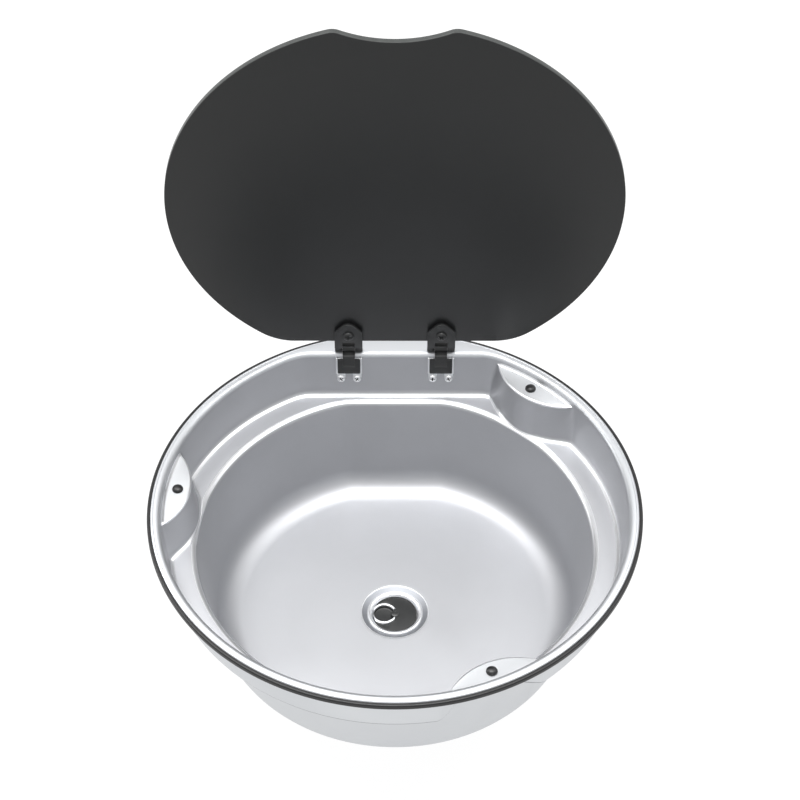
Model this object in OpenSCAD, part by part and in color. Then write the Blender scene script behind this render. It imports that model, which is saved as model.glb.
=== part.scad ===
// Round drop-in sink with a hinged glass lid. Millimetres, +Z up, +Y towards the hinges.
// The origin is on the worktop's surface, in the middle of the round cut-out.

/* [Rim and seal] */
// Outer radius of the pressed rim
flange_r = 207; // [204:0.5:212]
// Thickness of the stainless sheet
sheet_t = 1.0; // [0.8:0.1:1.2]
// Radius of the rolled edge round the rim
rim_roll_r = 2.0; // [1.6:0.1:2.4]
// How far the rubber seal shows outside the rim
seal_proud = 3.0; // [2:0.1:4]
// Height of the seal between worktop and rim
seal_h = 4.5; // [3.5:0.1:6]

/* [Recess] */
// Width of the rim, from its outer edge to the top of the recess wall
rim_w = 8.8; // [8:0.1:11]
// How far the flat back wall lies inside the round of the recess
recess_flat = 18.9; // [15:0.1:22]
// Radius of the corners beside the flat back wall
recess_corner_r = 40; // [30:1:60]
// Bend from the rim into the recess wall
rim_bend_r = 3.5; // [2.5:0.1:4.5]
// Depth from the rim down to the ledge
recess_depth = 47.5; // [42:0.5:55]
// Draft of the recess wall in degrees
recess_draft = 4.8; // [3:0.1:6]
// Fillet between the recess wall and the ledge
ledge_fillet_r = 5; // [3:0.5:7]

/* [Bowl] */
// Distance from the top of the recess wall in to the top of the bowl wall
ledge_w = 28.7; // [27:0.1:34]
// How far the bowl's flat back lies inside its round
bowl_flat = 5.8; // [4:0.1:9]
// Radius of the corners beside the bowl's flat back
bowl_corner_r = 50; // [46:1:60]
// Rounding of the lip between ledge and bowl
lip_r = 5; // [3:0.5:6]
// Depth from the rim down to the floor's edge
bowl_depth = 142.5; // [125:0.5:155]
// Draft of the bowl wall in degrees
bowl_draft = 9.5; // [7:0.1:11]
// Fillet between the bowl wall and the floor
floor_fillet_r = 23; // [18:0.5:28]
// How far the floor falls towards the drain
floor_fall = 0.8; // [0.4:0.1:2]

/* [Pads and bumpers] */
// Directions of the three lid pads in degrees
pad_angles = [50, 172.5, 294.5]; // [0:0.5:360]
// Depth of the pads' tops below the rim
pad_drop = 7.5; // [6:0.1:9]
// Width of the pads, from the recess wall to their inner edges
pad_w = 21.7; // [19:0.1:23]
// Radius of the curve of a pad's inner edge
pad_r = 59.5; // [50:0.5:70]
// Draft of the pad walls in degrees
pad_draft = 5.5; // [3:0.1:7]
// Rounding of the pads' top edges
pad_edge_r = 2; // [1.5:0.1:3]
// Distance from a pad's inner edge to its bumper
bumper_inset = 11; // [9.5:0.1:12]
// Radius of a bumper's dome
bumper_r = 4.75; // [4:0.05:5.5]
// Height of a bumper over its pad
bumper_h = 3.5; // [2.5:0.1:4.5]
// Radius of a bumper's stem
bumper_stem_r = 2.4; // [1.8:0.1:3]

/* [Lid] */
// Gap between the lid's round edge and the recess wall
lid_clearance = 4.2; // [3.7:0.1:6]
// How far the lid's centre lies behind the rim's
lid_centre = 3.7; // [3:0.1:4.2]
// Gap between the lid's straight back edge and the flat back wall
lid_back_gap = 11.5; // [11.3:0.1:14]
// Radius of the corners at the lid's back edge
lid_corner_r = 50; // [40:1:60]
// Thickness of the glass
glass_t = 5; // [4:0.1:6]
// Half the width of the finger notch in the lid's front edge
notch_half_w = 48.5; // [40:0.5:60]
// Depth of the finger notch
notch_depth = 11; // [9:0.1:15]
// Rounding of the two shoulders beside the notch
notch_round = 14; // [8:0.5:18]
// Gap that the closed lid keeps over its bumpers
lid_gap = 0.3; // [0.2:0.05:0.5]
// How far the open lid is turned up, in degrees
open_angle = 88.8; // [80:0.2:90]

/* [Hinges] */
// Distance between the two hinges
hinge_pitch = 82.6; // [70:0.1:110]
// Distance of the pivots behind the top of the recess wall
pivot_setback = 4.8; // [4.4:0.1:6]
// Radius of the hinge knuckles
knuckle_r = 2.6; // [2.4:0.1:2.9]
// Radius of the hinge pins
pin_r = 1.4; // [1.2:0.1:1.6]
// Width of a hinge leaf
leaf_w = 24.7; // [22:0.1:28]
// Thickness of a hinge leaf
leaf_t = 2; // [1.6:0.1:2.2]
// Distance from the pivot to a leaf's crest
leaf_reach = 40.2; // [38:0.1:46]
// Length of the sloping shoulders of a leaf
leaf_shoulder = 10; // [8:0.1:12]
// Thickness of the pad between leaf and glass
gasket_t = 1.5; // [1:0.1:2]
// Width of a hinge strap
strap_w = 10.8; // [9:0.1:12]
// Thickness of a hinge strap
strap_t = 1.2; // [1:0.05:1.4]
// Length of a strap's lower leg down the wall
strap_leg = 10.2; // [9:0.1:13]
// Width of the black block on the wall
block_w = 20.2; // [18:0.1:22]
// Height of the black block
block_h = 18; // [16:0.1:19]
// Thickness of the black block
block_t = 2; // [1.5:0.1:2.5]
// Width of each polished cheek beside the block
cheek_w = 1.5; // [1.2:0.1:2.2]
// Thickness of the bracket's back plate
bracket_t = 1; // [0.8:0.1:1.2]

/* [Fasteners] */
// Distance from the top of the recess wall down to the wall screws
wall_screw_drop = 24; // [23:0.1:27]
// Distance between the two screws of a hinge
wall_screw_pitch = 14.4; // [13.5:0.1:16]
// Radius of the wall screws' shanks
wall_screw_r = 2; // [1.5:0.1:2.2]
// Radius of the wall screws' heads
wall_head_r = 3.75; // [3.4:0.05:4]
// Height of the wall screws' heads
wall_head_h = 2.6; // [2:0.1:3]
// Distance from the pivot to a lid screw
lid_screw_at = 26.6; // [25:0.1:28]
// Radius of the lid screws' shanks
lid_screw_r = 2; // [1.8:0.1:2.3]
// Radius of the lid screws' heads
lid_head_r = 4.65; // [4:0.05:5]
// Height of the lid screws' heads
lid_head_h = 3; // [2.2:0.1:3.4]
// Radius of the caps on top of the glass
cap_r = 8; // [7:0.5:8]
// Height of the caps on top of the glass
cap_h = 3.2; // [2.6:0.1:4]
// Radius of the caps' threaded posts
post_r = 3.6; // [3.2:0.1:4]
// Clearance round screws and posts in their holes
hole_gap = 0.4; // [0.2:0.05:0.6]

/* [Waste] */
// Radius of the seat pressed into the floor round the drain
dip_r = 28.8; // [28:0.1:32]
// Depth of that seat
dip_h = 2.6; // [2:0.1:3.2]
// Radius of the chrome waste flange
waste_r = 24.2; // [23.6:0.1:25]
// Outer radius of the waste's threaded throat
throat_r = 21.5; // [21.3:0.1:22]
// Wall of the waste's throat
throat_wall = 2; // [1.6:0.1:2.2]
// Length of the throat below its seat
throat_l = 28; // [26:0.5:34]
// Thickness of the rubber seal under the waste flange
waste_seal_t = 0.5; // [0.4:0.1:0.8]
// Height of the ring nut under the floor
nut_h = 8; // [6:0.5:9]
// Outer radius of the hose tail
tail_r = 12.5; // [10:0.25:14]
// Length of the hose tail's straight run
tail_l = 30; // [25:1:40]
// Wall of the hose tail
tail_wall = 2; // [1.5:0.1:2.5]

/* [Plug] */
// Radius of the plug's disc
plug_r = 19.25; // [19:0.05:19.3]
// Height of the plug's rim over its disc
grip_h = 2; // [1.5:0.1:2.4]
// Inner radius of the open rim round the finger pocket
grip_inner_r = 9; // [8:0.1:9.2]
// Width of the open rim round the finger pocket
grip_w = 2.4; // [1.8:0.1:2.6]
// Half the angle of the rim's opening
grip_gap_angle = 28; // [22:1:45]

/* [Hidden] */
$fn = 64;
arc_steps = 4;
outline_step = 3;
corner_steps = 2;
bend_step = 0.25;
overlap = 0.6;

// Radii and distances that follow the rim
recess_r = flange_r - rim_w;
recess_back = recess_r - recess_flat;
bowl_r = recess_r - ledge_w;
bowl_back = bowl_r - bowl_flat;
pad_inner = recess_r - pad_w;
bumper_at = pad_inner + bumper_inset;
lid_r = recess_r - lid_clearance;
lid_back = recess_back - lid_back_gap;
beyond = flange_r + 43;

// Heights above the worktop
rim_top = seal_h + sheet_t;
ledge_z = rim_top - recess_depth;
floor_edge_z = rim_top - bowl_depth;
floor_z = floor_edge_z - floor_fall;
seat_z = floor_z - dip_h;
pad_z = rim_top - pad_drop;

// Pivot of the lid, and the map from the closed lid to the open one
pivot_y = recess_back + pivot_setback;
knuckle_gap = 0.3;
pivot_z = rim_top + knuckle_r + knuckle_gap;
hinge_xs = [-hinge_pitch / 2, hinge_pitch / 2];
pin_gap = 0.05;
press_gap = 0.02;

// Waste: plug bore, hole in the seat, the seat's flat and the floor's flat round it
bore_r = plug_r + 0.55;
hole_r = throat_r + 0.5;
seat_flat_r = waste_r + 0.6;
flat_r = dip_r + 4;
nut_r = throat_r + 8.3;
lower_seal_t = 1.2;
throat_z = seat_z - throat_l;
tail_seal_t = 1.2;
tail_flange_t = 2.5;
union_h = 9;

// Closed lid: heights of its layers
glass_z = pad_z + bumper_h + lid_gap;
gasket_z = glass_z - gasket_t;
leaf_z = gasket_z - leaf_t;

// Points on an arc about [cx, cz] from angle a0 to a1
function arc(cx, cz, r, a0, a1, n = arc_steps) =
    [for (i = [0:n]) [cx + r * cos(a0 + (a1 - a0) * i / n), cz + r * sin(a0 + (a1 - a0) * i / n)]];

// Centre of the corner arc between a circle of radius r and a chord at y = back
function corner_x(r, back, c) = sqrt((r - c) ^ 2 - (back - c) ^ 2);
function corner_angle(r, back, c) = atan2(back - c, corner_x(r, back, c));

// Flats of a wall as [direction, distance, how much rounder its bends are]: the back, and the
// steps of each rounded corner. No two neighbours have the same bends, so no four edges meet.
function flats(r, back, c) =
    let (a = corner_angle(r, back, c), cx = corner_x(r, back, c))
    [[90, back, 0], for (i = [1:corner_steps]) let (p = a + (90 - a) * i / (corner_steps + 1),
        l = cx * cos(p) + (back - c) * sin(p) + c, more = (corner_steps + 1 - i) * bend_step)
        each [[p, l, more], [180 - p, l, more]]];
function rounder(w, more) = [w[0], w[1], w[2], w[3] + more, w[4] + more];

// Offset of the wall's foot from its top, before the fillet
function wall_foot(w) =
    -(w[0] - w[1] - w[3] - w[4] + (w[3] + w[4]) * sin(w[2])) * tan(w[2]);

// Where the flat below a wall starts, as an offset from the wall's top
function wall_end(w) = wall_foot(w) - w[4] * cos(w[2]);

// The line from a through b, carried on to height z
function carried(a, b, z) = [b[0] + (z - b[1]) * (b[0] - a[0]) / (b[1] - a[1]), z];

// Side of a pressed wall as [offset, height], from its foot to its cap, moved out by d.
// w is [top, bottom, draft, bend, fillet]. Its upper end runs on through the sheet above it.
function wall_side(w, d) =
    let (bx = w[3] * cos(w[2]), cap = d > 0 ? w[0] - d / 2 : w[0] + 1, rise = d > 0 ? d / 4 : 0.3,
        turn = arc(bx, w[0] - w[3], w[3] - d, 180 - w[2], 90),
        tip = carried(turn[arc_steps - 1], turn[arc_steps], w[0] - d + rise))
    concat(
        arc(wall_end(w), w[1] + w[4], w[4] + d, -90, -w[2]),
        [for (i = [0:arc_steps - 1]) turn[i]],
        [tip, [tip[0], cap]]);

// Solid inside a pressed wall: a revolved body cut by one long prism for each flat
module pressing(r, back, c, w, base, d) {
    round_side = wall_side(rounder(w, (corner_steps + 1) * bend_step), d);
    last = len(round_side) - 1;
    cap = round_side[last][1];
    intersection_for (f = concat([[0, 0, 0]], flats(r, back, c)))
        if (f[1] == 0)
            rotate_extrude() polygon(concat(
                base, [for (p = round_side) [r + p[0], p[1]]], [[0, cap]]));
        else let (side = wall_side(rounder(w, f[2]), d), low = carried(side[1], side[0], w[1] - d - 0.3))
            rotate([0, 0, f[0]]) rotate([90, 0, 0]) linear_extrude(2 * beyond, center = true) polygon(concat(
                [[-beyond, w[1] - d - 8], [f[1] + low[0] - 3, w[1] - d - 8], [f[1] + low[0], low[1]]],
                [for (i = [1:last]) [f[1] + side[i][0], side[i][1]]],
                [[-beyond, cap]]));
}

// The recess and the bowl, as the air inside (d = 0) or the metal's outside (d = sheet_t)
recess_wall = [rim_top, ledge_z, recess_draft, rim_bend_r, ledge_fillet_r];
bowl_wall = [ledge_z, floor_edge_z, bowl_draft, lip_r, floor_fillet_r];
module recess_body(d) {
    pressing(recess_r, recess_back, recess_corner_r, recess_wall, [[0, ledge_z - d]], d);
}
module bowl_body(d) {
    cone_r = bowl_back + wall_end(bowl_wall) - 1;
    pressing(bowl_r, bowl_back, bowl_corner_r, bowl_wall,
        [[0, seat_z - d], [seat_flat_r, seat_z - d], [dip_r, floor_z - d], [flat_r, floor_z - d],
            [cone_r, floor_edge_z - d]], d);
}

// Pressed pads about their own upright axes, drawn in by d
module pads(d) {
    z_low = ledge_z - (d > 0 ? 2 : 0.6) * sheet_t;
    top = pad_z - d;
    r_top = pad_r - d;
    r_low = r_top + (top - z_low) * tan(pad_draft);
    for (a = pad_angles) rotate([0, 0, a]) translate([pad_inner + pad_r, 0, 0]) rotate_extrude()
        polygon(concat(
            [[0, z_low], [r_low, z_low]],
            arc(r_top - pad_edge_r + d, top - pad_edge_r + d, pad_edge_r - d, pad_draft, 90, 3),
            [[0, top]]));
}

// Wall frame: x along the back wall, -y out of it, z up it, from the wall's top
module on_wall(x) {
    translate([x, recess_back, rim_top - rim_bend_r + rim_bend_r * sin(recess_draft)])
        rotate([-recess_draft, 0, 0]) children();
}

// Turns a piece of the closed lid into the open position
module opened() {
    translate([0, pivot_y, pivot_z]) rotate([-open_angle, 0, 0])
        translate([0, -pivot_y, -pivot_z]) children();
}

module basin() {
    color("gainsboro") difference() {
        union() {
            rim();
            difference() {
                recess_body(sheet_t);
                pads(sheet_t);
            }
            bowl_body(sheet_t);
        }
        difference() {
            union() {
                recess_body(0);
                bowl_body(0);
            }
            pads(0);
        }
        translate([0, 0, seat_z - 5]) cylinder(r = hole_r, h = 7);
        for (a = pad_angles) rotate([0, 0, a]) translate([bumper_at, 0, pad_z - 5])
            cylinder(r = bumper_stem_r + 0.1, h = 10);
        for (x = hinge_xs) wall_holes(x);
    }
}

// Flat rim with its rolled outer edge
module rim() {
    cx = flange_r - rim_roll_r;
    cz = rim_top - rim_roll_r;
    rotate_extrude() polygon(concat(
        [[0, rim_top]],
        arc(cx, cz, rim_roll_r, 90, 0),
        arc(cx, cz, rim_roll_r - sheet_t, 0, 90, 2),
        [[0, rim_top - sheet_t]]));
}

// Holes for the two wall screws of one hinge
module wall_holes(x) {
    on_wall(x) for (s = [-1, 1]) translate([s * wall_screw_pitch / 2, 5, -wall_screw_drop])
        rotate([90, 0, 0]) cylinder(r = wall_screw_r + hole_gap / 2, h = 12);
}

module rim_seal() {
    inner = recess_r + rim_bend_r + 0.5;
    outer = flange_r + seal_proud;
    edge = flange_r + 0.3;
    bead = seal_h - 1;
    color("dimgray") rotate_extrude() polygon(concat(
        [[inner, 0], [outer - 1.5, 0]],
        arc(outer - 1.5, 1.5, 1.5, -90, 0),
        arc(outer - 1.2, bead - 1.2 + 0.3, 1.2, 0, 90),
        [[edge, bead + 0.3], [edge, seal_h - rim_roll_r + sheet_t - 0.3],
            [flange_r - rim_roll_r - 0.2, seal_h - rim_roll_r + sheet_t - 0.3],
            [flange_r - rim_roll_r - 0.2, seal_h], [inner, seal_h]]));
}

module bumper(i) {
    barb = 0.5;
    top_z = pad_z + bumper_h;
    color("black") rotate([0, 0, pad_angles[i]]) translate([bumper_at, 0, 0]) rotate_extrude() polygon(concat(
        [[0, pad_z - sheet_t - 3.4], [bumper_stem_r - 0.6, pad_z - sheet_t - 3.4],
            [bumper_stem_r + barb, pad_z - sheet_t - 1.2], [bumper_stem_r + barb, pad_z - sheet_t - 0.1],
            [bumper_stem_r, pad_z - sheet_t - 0.1], [bumper_stem_r, pad_z], [bumper_r, pad_z],
            [bumper_r, top_z - 2]],
        arc(bumper_r - 2, top_z - 2, 2, 0, 90),
        [[0, top_z]]));
}

// Stainless channel on the wall: back plate, two cheeks and two screw lugs
module hinge_bracket(x) {
    depth = bracket_t + block_t;
    lug_r = wall_head_r + 0.2;
    color("lightgray") on_wall(x) difference() {
        union() {
            for (s = [-1, 1]) translate([s * (block_w / 2 + 0.1 + cheek_w / 2), -depth / 2, -block_h / 2 + 0.5])
                cube([cheek_w, depth, block_h], center = true);
            translate([-block_w / 2 - 0.2, -bracket_t, -block_h]) cube([block_w + 0.4, bracket_t, block_h - 0.8]);
            for (s = [-1, 1]) translate([s * wall_screw_pitch / 2, 0, -wall_screw_drop]) {
                rotate([90, 0, 0]) cylinder(r = lug_r, h = bracket_t);
                translate([-lug_r, -bracket_t, 0]) cube([2 * lug_r, bracket_t, wall_screw_drop - block_h + 2]);
            }
        }
        for (s = [-1, 1]) translate([s * wall_screw_pitch / 2, 1, -wall_screw_drop])
            rotate([90, 0, 0]) cylinder(r = wall_screw_r + hole_gap / 2, h = bracket_t + 2);
    }
}

// Black block between the cheeks
module hinge_block(x) {
    color("black") on_wall(x) translate([-block_w / 2, -bracket_t - block_t, 0.5 - block_h])
        cube([block_w, block_t, block_h - 1.2]);
}

// Strap with its eye round the pin: over the rim's edge and down the block's face
module hinge_strap(x) {
    front = bracket_t + block_t;
    z0 = pivot_z - knuckle_r;
    bend = strap_t + 1;
    wall_z = rim_top - rim_bend_r + rim_bend_r * sin(recess_draft);
    bend_z = z0 + strap_t - bend;
    bend_y = recess_back + (1 - front + (bend_z - wall_z) * sin(recess_draft)) / cos(recess_draft);
    color("dimgray") translate([x - strap_w / 2, 0, 0]) difference() {
        union() {
            translate([0, pivot_y, pivot_z]) rotate([0, 90, 0]) cylinder(r = knuckle_r, h = strap_w);
            translate([0, bend_y, z0]) cube([strap_w, pivot_y - bend_y, strap_t]);
            rotate([90, 0, 90]) linear_extrude(strap_w)
                polygon(strap_leg_points(bend_y, z0, bend));
        }
        translate([-1, pivot_y, pivot_z]) rotate([0, 90, 0]) cylinder(r = pin_r + pin_gap, h = strap_w + 2);
    }
}

// Side view of the strap's bend and lower leg, as [y, z]
function strap_leg_points(y0, z0, bend) =
    let (z_c = z0 + strap_t - bend, r_in = bend - strap_t,
        a = 180 - recess_draft,
        leg = [-sin(recess_draft), -cos(recess_draft)] * strap_leg,
        out = [y0 + bend * cos(a), z_c + bend * sin(a)],
        inn = [y0 + r_in * cos(a), z_c + r_in * sin(a)],
        lip = [-cos(recess_draft), sin(recess_draft)] * 0.8)
    concat(
        [[y0 + overlap, z0 + strap_t]],
        arc(y0, z_c, bend, 90, a),
        [out + leg * 0.9, out + leg + lip, out + leg * 1.05 + lip, inn + leg],
        arc(y0, z_c, r_in, a, 90),
        [[y0 + overlap, z0]]);

// Tapped plate behind the wall
module backing_plate(x) {
    color("silver") on_wall(x) difference() {
        translate([-leaf_w / 2, sheet_t, -wall_screw_drop - 6]) cube([leaf_w, 2, 12]);
        for (s = [-1, 1]) translate([s * wall_screw_pitch / 2, sheet_t + 3, -wall_screw_drop])
            rotate([90, 0, 0]) cylinder(r = wall_screw_r + press_gap, h = 4);
    }
}

module wall_screws() {
    color("silver") for (x = hinge_xs) on_wall(x) for (s = [-1, 1])
        translate([s * wall_screw_pitch / 2, -bracket_t, -wall_screw_drop]) rotate([90, 0, 0])
            pan_screw(wall_screw_r, wall_head_r, wall_head_h, bracket_t + sheet_t + 2);
}

// Pan-head cross-recess screw, its head's seat at z = 0 and its shank downwards
module pan_screw(r, head_r, head_h, l) {
    slot = head_r * 0.28;
    edge_h = head_h * 0.35;
    difference() {
        rotate_extrude() polygon(concat(
            [[0, -l], [r, -l], [r, 0], [head_r, 0], [head_r, edge_h]],
            [for (i = [1:arc_steps - 1]) let (a = 90 * i / arc_steps)
                [head_r * cos(a), edge_h + (head_h - edge_h) * sin(a)]],
            [[0, head_h]]));
        for (a = [0, 90]) rotate([0, 0, a]) translate([-head_r * 0.6, -slot / 2, head_h * 0.45])
            cube([head_r * 1.2, slot, head_h]);
    }
}

// Outline of the closed lid: round edge, straight back and a finger notch in the front
function lid_outline() =
    let (r = lid_r, back = lid_back - lid_centre, c = lid_corner_r, f = notch_round,
        cx = corner_x(r, back, c), cy = back - c, a = corner_angle(r, back, c),
        n_r = (notch_half_w ^ 2 + notch_depth ^ 2) / (2 * notch_depth),
        n_y = notch_depth - n_r - sqrt(r ^ 2 - notch_half_w ^ 2),
        s_y = ((r - f) ^ 2 - (n_r + f) ^ 2 + n_y ^ 2) / (2 * n_y),
        s_x = sqrt((r - f) ^ 2 - s_y ^ 2),
        lid_a = atan2(s_y, s_x), notch_a = atan2(s_y - n_y, s_x),
        n = ceil((a - lid_a) / outline_step))
    concat(
        arc(cx, cy, c, a, 90),
        arc(-cx, cy, c, 90, 180 - a),
        arc(0, 0, r, 180 - a, 180 - lid_a, n),
        arc(-s_x, s_y, f, 180 - lid_a, 360 - notch_a),
        arc(0, n_y, n_r, 180 - notch_a, notch_a, 16),
        arc(s_x, s_y, f, 180 + notch_a, 360 + lid_a),
        arc(0, 0, r, lid_a, a, n));

module lid_glass() {
    color([0.15, 0.16, 0.17]) opened() difference() {
        translate([0, lid_centre, glass_z]) linear_extrude(glass_t) polygon(lid_outline());
        for (x = hinge_xs) translate([x, pivot_y - lid_screw_at, glass_z - 1])
            cylinder(r = post_r + hole_gap, h = glass_t + 2);
    }
}

// Leaf under the glass, stepped up over the rim's edge to its two knuckles
module hinge_leaf(x) {
    slot_w = strap_w + 0.6;
    riser_in = 7.7;
    window_l = 5.3;
    riser_y = recess_back - riser_in;
    slot_y = riser_y + leaf_t - 0.2;
    crest_y = pivot_y - leaf_reach;
    arm_z = pivot_z - knuckle_r;
    color("black") opened() translate([x, 0, 0]) difference() {
        union() {
            translate([0, 0, leaf_z]) linear_extrude(leaf_t) leaf_outline(crest_y, riser_y + leaf_t);
            translate([-leaf_w / 2, riser_y, leaf_z]) cube([leaf_w, leaf_t, arm_z + leaf_t - leaf_z]);
            translate([-leaf_w / 2, riser_y, arm_z]) cube([leaf_w, pivot_y - riser_y, leaf_t]);
            translate([-leaf_w / 2, pivot_y, pivot_z]) rotate([0, 90, 0]) cylinder(r = knuckle_r, h = leaf_w);
        }
        translate([-slot_w / 2, slot_y, leaf_z - 1]) cube([slot_w, leaf_reach, pivot_z - leaf_z + knuckle_r + 2]);
        translate([-strap_w / 2, riser_y - window_l, leaf_z - 1]) cube([strap_w, window_l, leaf_t + 2]);
        translate([-leaf_w, pivot_y, pivot_z]) rotate([0, 90, 0]) cylinder(r = pin_r + press_gap, h = 2 * leaf_w);
        translate([0, pivot_y - lid_screw_at, leaf_z - 1]) cylinder(r = lid_screw_r + hole_gap / 2, h = leaf_t + 2);
    }
}

// House-shaped plate with a rounded crest, from the crest back to y1
module leaf_outline(y0, y1) {
    half = leaf_w / 2;
    slope = 47;
    flat = half - leaf_shoulder * cos(slope);
    rise = leaf_shoulder * sin(slope);
    crest_r = flat / sin(slope);
    crest_h = crest_r * (1 - cos(slope));
    polygon(concat(
        [[half, y1], [half, y0 + crest_h + rise]],
        [for (i = [-4:4]) let (a = -slope * i / 4) [crest_r * sin(a), y0 + crest_r - crest_r * cos(a)]],
        [[-half, y0 + crest_h + rise], [-half, y1]]));
}

module hinge_pin(x) {
    color("silver") opened() translate([x - leaf_w / 2 + 0.2, pivot_y, pivot_z]) rotate([0, 90, 0])
        cylinder(r = pin_r, h = leaf_w - 0.4);
}

// Soft pad between leaf and glass
module leaf_gasket(x) {
    inset = 0.6;
    color("black") opened() translate([x, 0, gasket_z]) difference() {
        linear_extrude(gasket_t) offset_leaf(inset);
        translate([0, pivot_y - lid_screw_at, -1]) cylinder(r = post_r + hole_gap, h = gasket_t + 2);
    }
}

// The part of the leaf's outline that lies under the glass, drawn in
module offset_leaf(inset) {
    k = 1 - 2 * inset / leaf_w;
    y0 = pivot_y - leaf_reach;
    intersection() {
        translate([0, y0 + inset]) scale(k) translate([0, -y0]) leaf_outline(y0, lid_back);
        translate([-leaf_w, y0]) square([2 * leaf_w, lid_back - 0.5 - y0]);
    }
}

// Cap on top of the glass, with a tapped post through the hole
module lid_cap(x) {
    z0 = glass_z + glass_t + 0.8;
    color("black") opened() translate([x, pivot_y - lid_screw_at, 0]) difference() {
        rotate_extrude() polygon(concat(
            [[0, gasket_z + 0.1], [post_r, gasket_z + 0.1], [post_r, z0], [cap_r, z0], [cap_r, z0 + cap_h - 1.5]],
            arc(cap_r - 1.5, z0 + cap_h - 1.5, 1.5, 0, 90),
            [[0, z0 + cap_h]]));
        translate([0, 0, gasket_z - 1]) cylinder(r = lid_screw_r + press_gap, h = glass_t + gasket_t + 1.5);
    }
}

module cap_seals() {
    color("dimgray") opened() for (x = hinge_xs)
        translate([x, pivot_y - lid_screw_at, glass_z + glass_t]) difference() {
            cylinder(r = cap_r - 0.6, h = 0.8);
            translate([0, 0, -1]) cylinder(r = post_r + hole_gap, h = 3);
        }
}

module lid_screws() {
    color("black") opened() for (x = hinge_xs) translate([x, pivot_y - lid_screw_at, leaf_z])
        rotate([180, 0, 0]) pan_screw(lid_screw_r, lid_head_r, lid_head_h, leaf_t + gasket_t + glass_t - 0.6);
}

// Chrome flange with its plug seat, threaded throat and strainer cross
module waste_flange() {
    inner = throat_r - throat_wall;
    seat = bore_r - 2.8;
    base = waste_seal_t;
    color("silver") translate([0, 0, seat_z]) {
        rotate_extrude() polygon(concat(
            [[bore_r, -5.5], [bore_r, -1], [bore_r + 0.3, -0.6], [throat_r - 0.2, base + 0.4]],
            arc(waste_r - 1.1, base - 0.2, 1.1, 110, 10, 5),
            [[waste_r, 0.2], [waste_r - 0.7, 0.2], [waste_r - 0.7, base], [throat_r, base],
                [throat_r, -throat_l], [inner, -throat_l], [inner, -10.6],
                [seat, -8.6], [seat, -5.9], [seat + 0.4, -5.5]]));
        for (a = [0, 90]) rotate([0, 0, a]) translate([-inner - 0.5, -1, -14.6]) cube([2 * inner + 1, 2, 2]);
    }
}

module waste_top_seal() {
    color("black") ring(hole_r + 0.2, waste_r - 1, seat_z, waste_seal_t);
}

module waste_lower_seal() {
    color("black") ring(throat_r + 0.3, seat_flat_r - 0.2, seat_z - sheet_t - lower_seal_t, lower_seal_t);
}

// Flat ring from z up
module ring(inner, outer, z, h) {
    translate([0, 0, z]) difference() {
        cylinder(r = outer, h = h);
        translate([0, 0, -1]) cylinder(r = inner, h = h + 2);
    }
}

// Back nut under the floor, with eight grip lugs
module waste_nut() {
    z0 = seat_z - sheet_t - lower_seal_t - nut_h;
    outer = nut_r;
    color("dimgray") difference() {
        union() {
            translate([0, 0, z0]) cylinder(r = outer, h = nut_h);
            for (i = [0:7]) rotate([0, 0, i * 45]) translate([outer - 1, -2.5, z0]) cube([3.5, 5, nut_h - 2]);
        }
        translate([0, 0, z0 - 1]) cylinder(r = throat_r + pin_gap, h = nut_h + 2);
    }
}

module tail_seal() {
    color("black") ring(throat_r - throat_wall, throat_r, throat_z - tail_seal_t, tail_seal_t);
}

// Hose tail: flange, cone and barbed outlet
module waste_tail() {
    z1 = throat_z - tail_seal_t;
    z2 = z1 - tail_flange_t;
    z3 = z2 - 12;
    z4 = z3 - tail_l;
    bore = tail_r - tail_wall;
    color("dimgray") rotate_extrude() polygon([
        [throat_r - throat_wall, z1], [throat_r + 1.5, z1], [throat_r + 1.5, z2], [throat_r - 1, z2],
        [throat_r - 1, z2 - 3], [tail_r + 2.5, z3 + 1], [tail_r + 2.5, z3], [tail_r, z3],
        [tail_r, z4], [bore, z4], [bore, z3], [throat_r - throat_wall - 1.5, z2 - 2]]);
}

// Ring nut that clamps the tail's flange to the throat
module union_nut() {
    top = throat_z + union_h - tail_flange_t;
    low = throat_z - tail_seal_t - tail_flange_t - 2;
    outer = throat_r + 5;
    color("dimgray") difference() {
        union() {
            translate([0, 0, low]) cylinder(r = outer, h = top - low);
            for (i = [0:11]) rotate([0, 0, i * 30]) translate([outer - 1, -1.5, low]) cube([2.2, 3, top - low - 1]);
        }
        translate([0, 0, throat_z]) cylinder(r = throat_r + pin_gap, h = union_h + 2);
        translate([0, 0, low + 2]) cylinder(r = throat_r + 1.6, h = throat_z - low - 2 + 0.1);
        translate([0, 0, low - 1]) cylinder(r = throat_r - 0.8, h = 5);
    }
}

// Height of the plug's top and the place of its finger pocket
plug_top = seat_z - 1.2;
grip_x = plug_r - 9.75;

// Disc with an off-centre finger pocket and a small dome in its middle
module plug_disc() {
    color([0.2, 0.2, 0.2]) translate([0, 0, plug_top]) {
        difference() {
            rotate_extrude() polygon([
                [0, -7.5], [16, -7.5], [16.2, -3.1], [plug_r - 0.3, -3.1], [plug_r, -2.8], [plug_r, -0.4],
                [plug_r - 0.4, 0], [0, 0]]);
            translate([-grip_x, 0, -2.2]) cylinder(r = grip_inner_r - 0.1, h = 4);
        }
        rotate_extrude() polygon([[0, -3], [3.6, -3], [3.6, 0.4], [2.8, 1.1], [0, 1.4]]);
    }
}

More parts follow.
